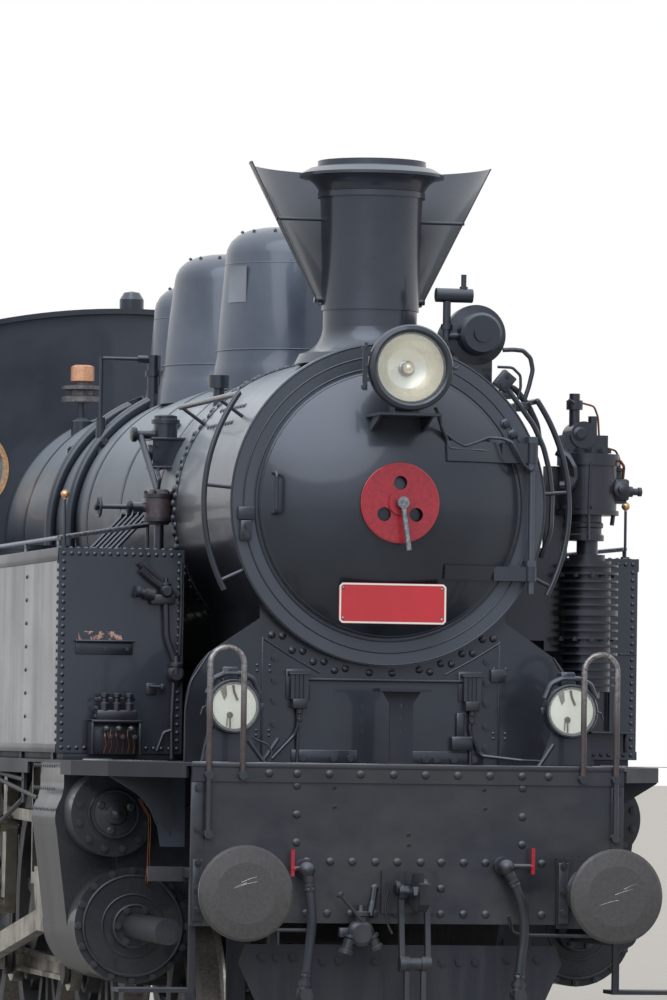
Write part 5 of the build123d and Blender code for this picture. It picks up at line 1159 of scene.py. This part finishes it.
def cylinderDress(side):
    (x, y, z), radius, angles = covers["valve"]
    x = side * x
    cap = [(104, 0), (100, 8), (56, 15), (48, 26), (32, 28)]
    made = [
        ringOf(118, 6, (x, y - 2, z)),
        turned(cap, (x, y - 53, z), front, 40),
        turned([(26, 0, 16), (20, 18, 34), (8, 38)], (x, y - 80, z), front, 6),
    ]
    for spot in circle((x, y - 54, z), 82, (25, 150, 255)):
        made.append(turned([(22, 0, 16), (14, 20, 32)], spot, front, 6))
    bolts = circle((x, y, z), radius, angles)
    (x, y, z), radius, angles = covers["piston"]
    x = side * x
    made += [ringOf(big, small, (x, y - lift, z)) for big, small, lift in ((240, 7, 25), (150, 6, 25), (100, 7, 70))]
    bolts += circle((x, y, z), radius, angles) + circle((x, y - 70, z), 84, range(0, 360, 60))
    made.append(spread(hexBolt(0.019, 0.016), spots(bolts)))
    # brackets and stays between the platform and the cylinder's front
    made += [
        rounded((side * 1078, 1290, 1082), (side * 880, 1330, 1142), 5),
        rounded((side * 1350, 1600, 1600), (side * 1210, 1640, 1650), 5),
        bent(13, [(side * 1015, 1120), (side * 965, 1052), (side * 905, 985)], 20, y=1545),
    ]
    return joined(made)


keep([cylinderDress(-1), cylinderDress(1)], "cylinderCovers", "iron", angle=40)
for side, name in ((-1, "right"), (1, "left")):
    made = []
    for lift in (0, 9):
        route = [(1089, 1458), (1038, 1373), (1035, 1348), (1040, 1128), (1048, 1061)]
        made.append(bent(4, [(side * (x - lift), z) for x, z in route] + [(side * 1020, 1043)], 30, y=1545))
    keep(made, "cylinderOilPipes_" + name, "iron", copper)
# bracket plates before the valve chests, with a curved lower edge
outline = [(921, 1640), (921, 1237), (1037, 1237), (1052, 1330), (1095, 1420), (1170, 1505), (1262, 1578), (1330, 1640)]
made = [plateFrom([(side * x, z) for x, z in outline], 1240, 12) for side in (-1, 1)]
# the plates stand in the platform's shade; the lighter enamel paints light on them
keep(made, "cylinderBrackets", "frame_black", paintedSkyLitEnamel)
# angle irons on which the tanks stand
made = []
for side in (-1, 1):
    made.append(rounded((side * 862, 1818, 1640), (side * 1412, 1828, 1676), 1))
    made.append(rounded((side * 1402, 1828, 1640), (side * 1412, 7560, 1676), 1))
keep(made, "tankFootAngles", "frame_black")
casing = [(1446, y, z) for y in range(1840, 2440, 60) for z in (1610, 1500)]
casing += [(1446, y, 1400) for y in range(1780, 2480, 110)]
keep(spread(rivet(0.011, 0.006), again(spots(casing, leftward), otherSide)), "casingRivets", "iron")
print("cylinders dressed")


# Low front: steam heating valve, rods and bolts of the guard plate, coupling fittings, buffers' scars
keep([
    turned([(44, 0), (60, 14), (66, 40), (60, 66), (44, 80)], (-240, 482, 858), front, 28),
    turned([(34, 0, 30), (44, 36, 52), (22, 58), (18, 84)], (-240, 440, 905), up, 24),
    turned([(40, 0, 14), (28, 20, 70), (38, 74, 92)], (-285, 440, 850), (-0.3, 0, -1), 24),
    turned([(34, 0, 14), (24, 18, 52), (32, 56, 72)], (-190, 440, 850), (0.5, 0, -1), 24),
    rounded((-344, 430, 838), (-286, 470, 884), 10),
    bent(9, [(-344, 400, 1034), (-296, 400, 978), (-243, 404, 919)], 8),
    turned([(14, 0), (18, 6, 14), (10, 20)], (-344, 400, 1030), (-0.6, 0, 0.8), 16),
], "heatingValve", "iron")
pipes(25, "iron", {
    "guardBarRight": (9, 520, [(-645, 868), (-560, 868), (-483, 868)]),
    "guardBarRightDrop": (7, 520, [(-614, 862), (-614, 800)]),
    "frontPipeLeft": (8, 0, [
        (469, 450, 945), (479, 460, 909), (501, 490, 866), (546, 500, 854), (700, 505, 852), (888, 510, 850),
    ]),
    "heatingPipe": (16, 0, [(-190, 470, 935), (-170, 500, 1000), (-160, 512, 1066)]),
})
guardBolts = [(x, 739) for x in (-670, -599, -521)] + [(x, 721) for x in (-378, -301, -128)]
guardBolts += [(x, 719) for x in (196, 277, 357)] + [(x, 733) for x in (507, 655)]
rivets("guardPlateBolts", "apron", again(spots(guardBolts, y=630), otherEnd), "frame_black", hexBolt)


def shackle():
    # the coupling's screw, trunnion ends and a pin chain
    return joined([
        turned(collar, (-64, 400, 1070), rightward, 24),
        turned(collar, (40, 400, 1080), leftward, 24),
        turned([(18, 0, 150)], (-92, 404, 1064), leftward, 20),
        turned([(16, 0), (20, 6, 24), (12, 28)], (-30, 380, 690), up, 20),
        bent(6, [(-118, 404, 1060), (-132, 408, 980), (-118, 410, 900), (-96, 410, 858)], 30),
    ])


keep(frontAndRear(shackle), "couplingFittings", "iron", angle=45)
# scars where the buffers' heads rub: offset across, offset up, length
scars = {-1: ((0.0, 40, 95), (10, 62, 70), (-30, 35, 60)), 1: ((30, 20, 85), (60, 45, 60), (-40, -30, 90))}
made = []
for side, marks in scars.items():
    for lean, lift, reach in marks:
        x, z = side * 875 + lean, 1050 + lift
        made.append(bent(1.3, [(x - reach / 2, z - 12), (x, z + 4), (x + reach / 2, z + 14)], 12, 1, y=0.8))
keep(made, "bufferScars", "buffer_steel", brightSteel)
print("front fitted")


# Platform edges in thin bright steel strips: a painted highlight along the edges, partly steel worn bright by boots
made = [rounded((-1037, 498, 1643), (1037, 504, 1646), 1)]
made += [rounded((side * 1037, 1102, 1643), (side * 1440, 1108, 1646), 1) for side in (-1, 1)]
keep(made, "platformEdges", "frame_black", brightSteel)


# Chimney and boiler: foot bolts on the saddle's curve, washout plugs
chimneyFoot = {"y": 1475, "z": 3622, "radius": 290, "fall": 60}
bolts = []
for angle in range(0, 360, 30):
    z = chimneyFoot["z"] - chimneyFoot["fall"] * abs(cos(radians(angle)))
    bolts += circle((0, chimneyFoot["y"], z), chimneyFoot["radius"], [angle], level=True)
keep(spread(hexBolt(0.016, 0.012), spots(bolts, up)), "chimneyFootBolts", "smokebox_black")
plugs = [spot for y in (3300, 4300, 5300, 6300) for spot in aroundBoiler(730, y, (38, 142))]
keep(spread(hexBolt(0.026, 0.022), plugs), "washoutPlugs", "iron")


# Domes: sheet casings with a joint ring, a row of bolts on the crown and a flared foot on the boiler
domes = {
    "front": {"y": 3330, "foot": 370, "shoulder": 328, "top": 4366},
    "middle": {"y": 4760, "foot": 370, "shoulder": 312, "top": 4328},
    "rear": {"y": 5680, "foot": 270, "shoulder": 242, "top": 4232},
}


def dome(name, s):
    y, foot, r, top = s["y"], s["foot"], s["shoulder"], s["top"]
    casing = turned([
        (foot + 24, 3520), (foot + 22, 3590), (foot + 10, 3645), (foot + 1, 3690), (foot, 3720), (r, top - 150),
        (r - 7, top - 115), (r - 26, top - 78), (r - 60, top - 46), (r - 110, top - 22), (r - 175, top - 8), (40, top),
    ], (0, y, 0), up, 96)
    # the dome's casing and trim take the lighter enamel, painted sky reflection
    keep(casing, "domeCasing_" + name, "black_paint", paintedSkyLitEnamel, angle=30)
    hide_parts("dome_" + name)
    bolts = spots(circle((0, y, top - 37), r - 78, range(0, 360, 30), level=True), up)
    trim = [ringOf(foot + 1, 4, (0, y, 3724), up, 96), ringOf(r + 3, 3, (0, y, top - 200), up, 96)]
    keep(trim + [spread(hexBolt(0.010, 0.009), bolts)], "domeTrim_" + name, "black_paint", paintedSkyLitEnamel)


for name, s in domes.items():
    dome(name, s)
badge = {"radius": 347, "z": 4058, "height": 184, "angle": 207, "arc": 24}


def domePlate(s, y):
    # blank plate with a raised edge, bent round the front dome
    bpy.ops.mesh.primitive_grid_add(x_subdivisions=8, y_subdivisions=2, size=1, location=(0, 0, 0))
    sheet = bpy.context.object
    for vertex in sheet.data.vertices:
        across, height = vertex.co.x, s["z"] + s["height"] * vertex.co.y
        vertex.co = at(*circle((0, y, height), s["radius"], [s["angle"] + s["arc"] * across], level=True)[0])
    turn = radians(s["angle"])
    outward = Vector((cos(turn), sin(turn), 0))
    return shape(
        sheet,
        lambda: push(*(outward * 0.006)),
        lambda: bpy.ops.mesh.inset(thickness=0.012),
        lambda: bpy.ops.transform.translate(value=-outward * 0.003),
        faceOutward,
    )


keep(domePlate(badge, domes["front"]["y"]), "domePlate", "black_paint", plateGrey)
print("domes set")


# Cab and bunker: rivet lines along the plates' edges, beading round the openings
cab = {
    "y": (7600, 9480), "window": (7800, 8440), "door": (8560, 9180), "doorFoot": 1806, "sill": 2800, "top": 3647,
    "bunkerBack": 10740, "bunkerTop": 3050, "x": 1446, "lowest": 1690,
}


def plateRivets(s):
    (y0, y1), (w0, w1), (d0, d1), end, low = s["y"], s["window"], s["door"], s["bunkerBack"], s["lowest"]
    onSide, onBack = [], []
    columns = (
        # y, upper end, count
        (y0 + 28, 3860, 24), (w1 + 50, 3700, 22), (d1 + 45, 3700, 22), (y1 - 28, 3860, 24), (y1 + 30, 3020, 15),
        (end - 26, 3020, 26),
    )
    rows = (
        # z, front and rear end, count
        (1668, y0 + 90, d0 - 70, 10), (s["sill"] - 40, w0 + 10, w1 - 10, 8), (1668, y1 + 90, end - 90, 13),
        (3030, y1 + 90, end - 90, 13), (3770, y0 + 90, y1 - 90, 20),
    )
    for y, high, count in columns:
        onSide += [(s["x"], y, z) for z in evenly(low, high, count)]
    for z, first, last, count in rows:
        onSide += [(s["x"], y, z) for y in evenly(first, last, count)]
    onBack += [(x, end, z) for x in evenly(40, 1400, 16) for z in (low, 3028)]
    onBack += [(x, end, z) for z in evenly(1780, 2960, 14) for x in (1418, 700)]
    return spots(onSide, leftward) + spots(onBack, (0, 1, 0))


rivets("cabAndBunkerRivets", "tank", again(plateRivets(cab), otherSide), "black_paint")


def cabBeading(side, s):
    # half-round strips round the side window and the doorway, and the bunker's top edge
    x, top, rim, end, made = side * 1449, s["top"], s["bunkerTop"], s["bunkerBack"], []
    for (y0, y1), foot in ((s["window"], s["sill"]), (s["door"], s["doorFoot"])):
        made.append(bent(9, [(x, y0 - 8, foot), (x, y0 - 8, top + 8), (x, y1 + 8, top + 8), (x, y1 + 8, foot)], 30))
    made.append(bent(11, [(x, s["window"][0] - 20, s["sill"] - 8), (x, s["window"][1] + 20, s["sill"] - 8)], 10))
    made.append(bent(12, [(x, s["y"][1] + 10, rim), (x, end, rim), (side * 10, end + 2, rim)], 20))
    return joined(made)


keep([cabBeading(-1, cab), cabBeading(1, cab)], "cabBeading", "black_paint")
print("cab and bunker finished")


# Floor and soft light, like an open white sky
studio = {
    "floorColour": "#b9b6b0",
    "floorPatch": "#bdbab4",
    "floorRough": 0.9,
    "floorSize": 400.0,
    "skyStrength": 0.55,
    "keyStrength": 2.2,
    "keyAngle": 60.0,
    "keyTurn": (48.0, 12.0, -35.0),
}


def addStudio(s):
    bpy.ops.object.select_all(action="DESELECT")
    bpy.ops.mesh.primitive_plane_add(size=s["floorSize"], location=(0, 0, 0))
    floor = bpy.context.object
    floor.name = "studioFloor"
    material, add, place = newMaterial("paleStudioFloor")
    mottle = add("TexNoise", {"Scale": 0.6, "Detail": 3.0}, {"Vector": (place, "Object")})
    tone = add("Mix", {"data_type": "RGBA", 6: linear(s["floorColour"]), 7: linear(s["floorPatch"])}, {0: mottle})
    floor.data.materials.append(shaded(material, add, {"Roughness": s["floorRough"]}, {"Base Color": (tone, 2)}))
    world = bpy.data.worlds.new("softSky")
    bpy.context.scene.world = world
    world.use_nodes = True
    world.node_tree.nodes.clear()
    add = partial(addNode, world.node_tree)
    # what the camera and reflections see is whiter than what lights the scene
    rays = add("LightPath")
    seen = add("Math", {"operation": "MAXIMUM"}, {0: (rays, "Is Camera Ray"), 1: (rays, "Is Glossy Ray")})
    seen = add("Math", {"operation": "MAXIMUM"}, {0: seen, 1: (rays, "Is Transmission Ray")})
    strength = add("MapRange", {"To Min": s["skyStrength"], "To Max": 1.0}, {"Value": seen})
    sky = add("Background", {"Color": (1, 1, 1, 1)}, {"Strength": strength})
    add("OutputWorld", {}, {"Surface": sky})
    data = bpy.data.lights.new("softKey", "SUN")
    data.energy = s["keyStrength"]
    data.angle = radians(s["keyAngle"])
    key = bpy.data.objects.new("softKey", data)
    key.rotation_euler = [radians(a) for a in s["keyTurn"]]
    bpy.context.scene.collection.objects.link(key)
    bpy.context.scene.view_settings.view_transform = "Standard"


addStudio(studio)
print("floor and light set")
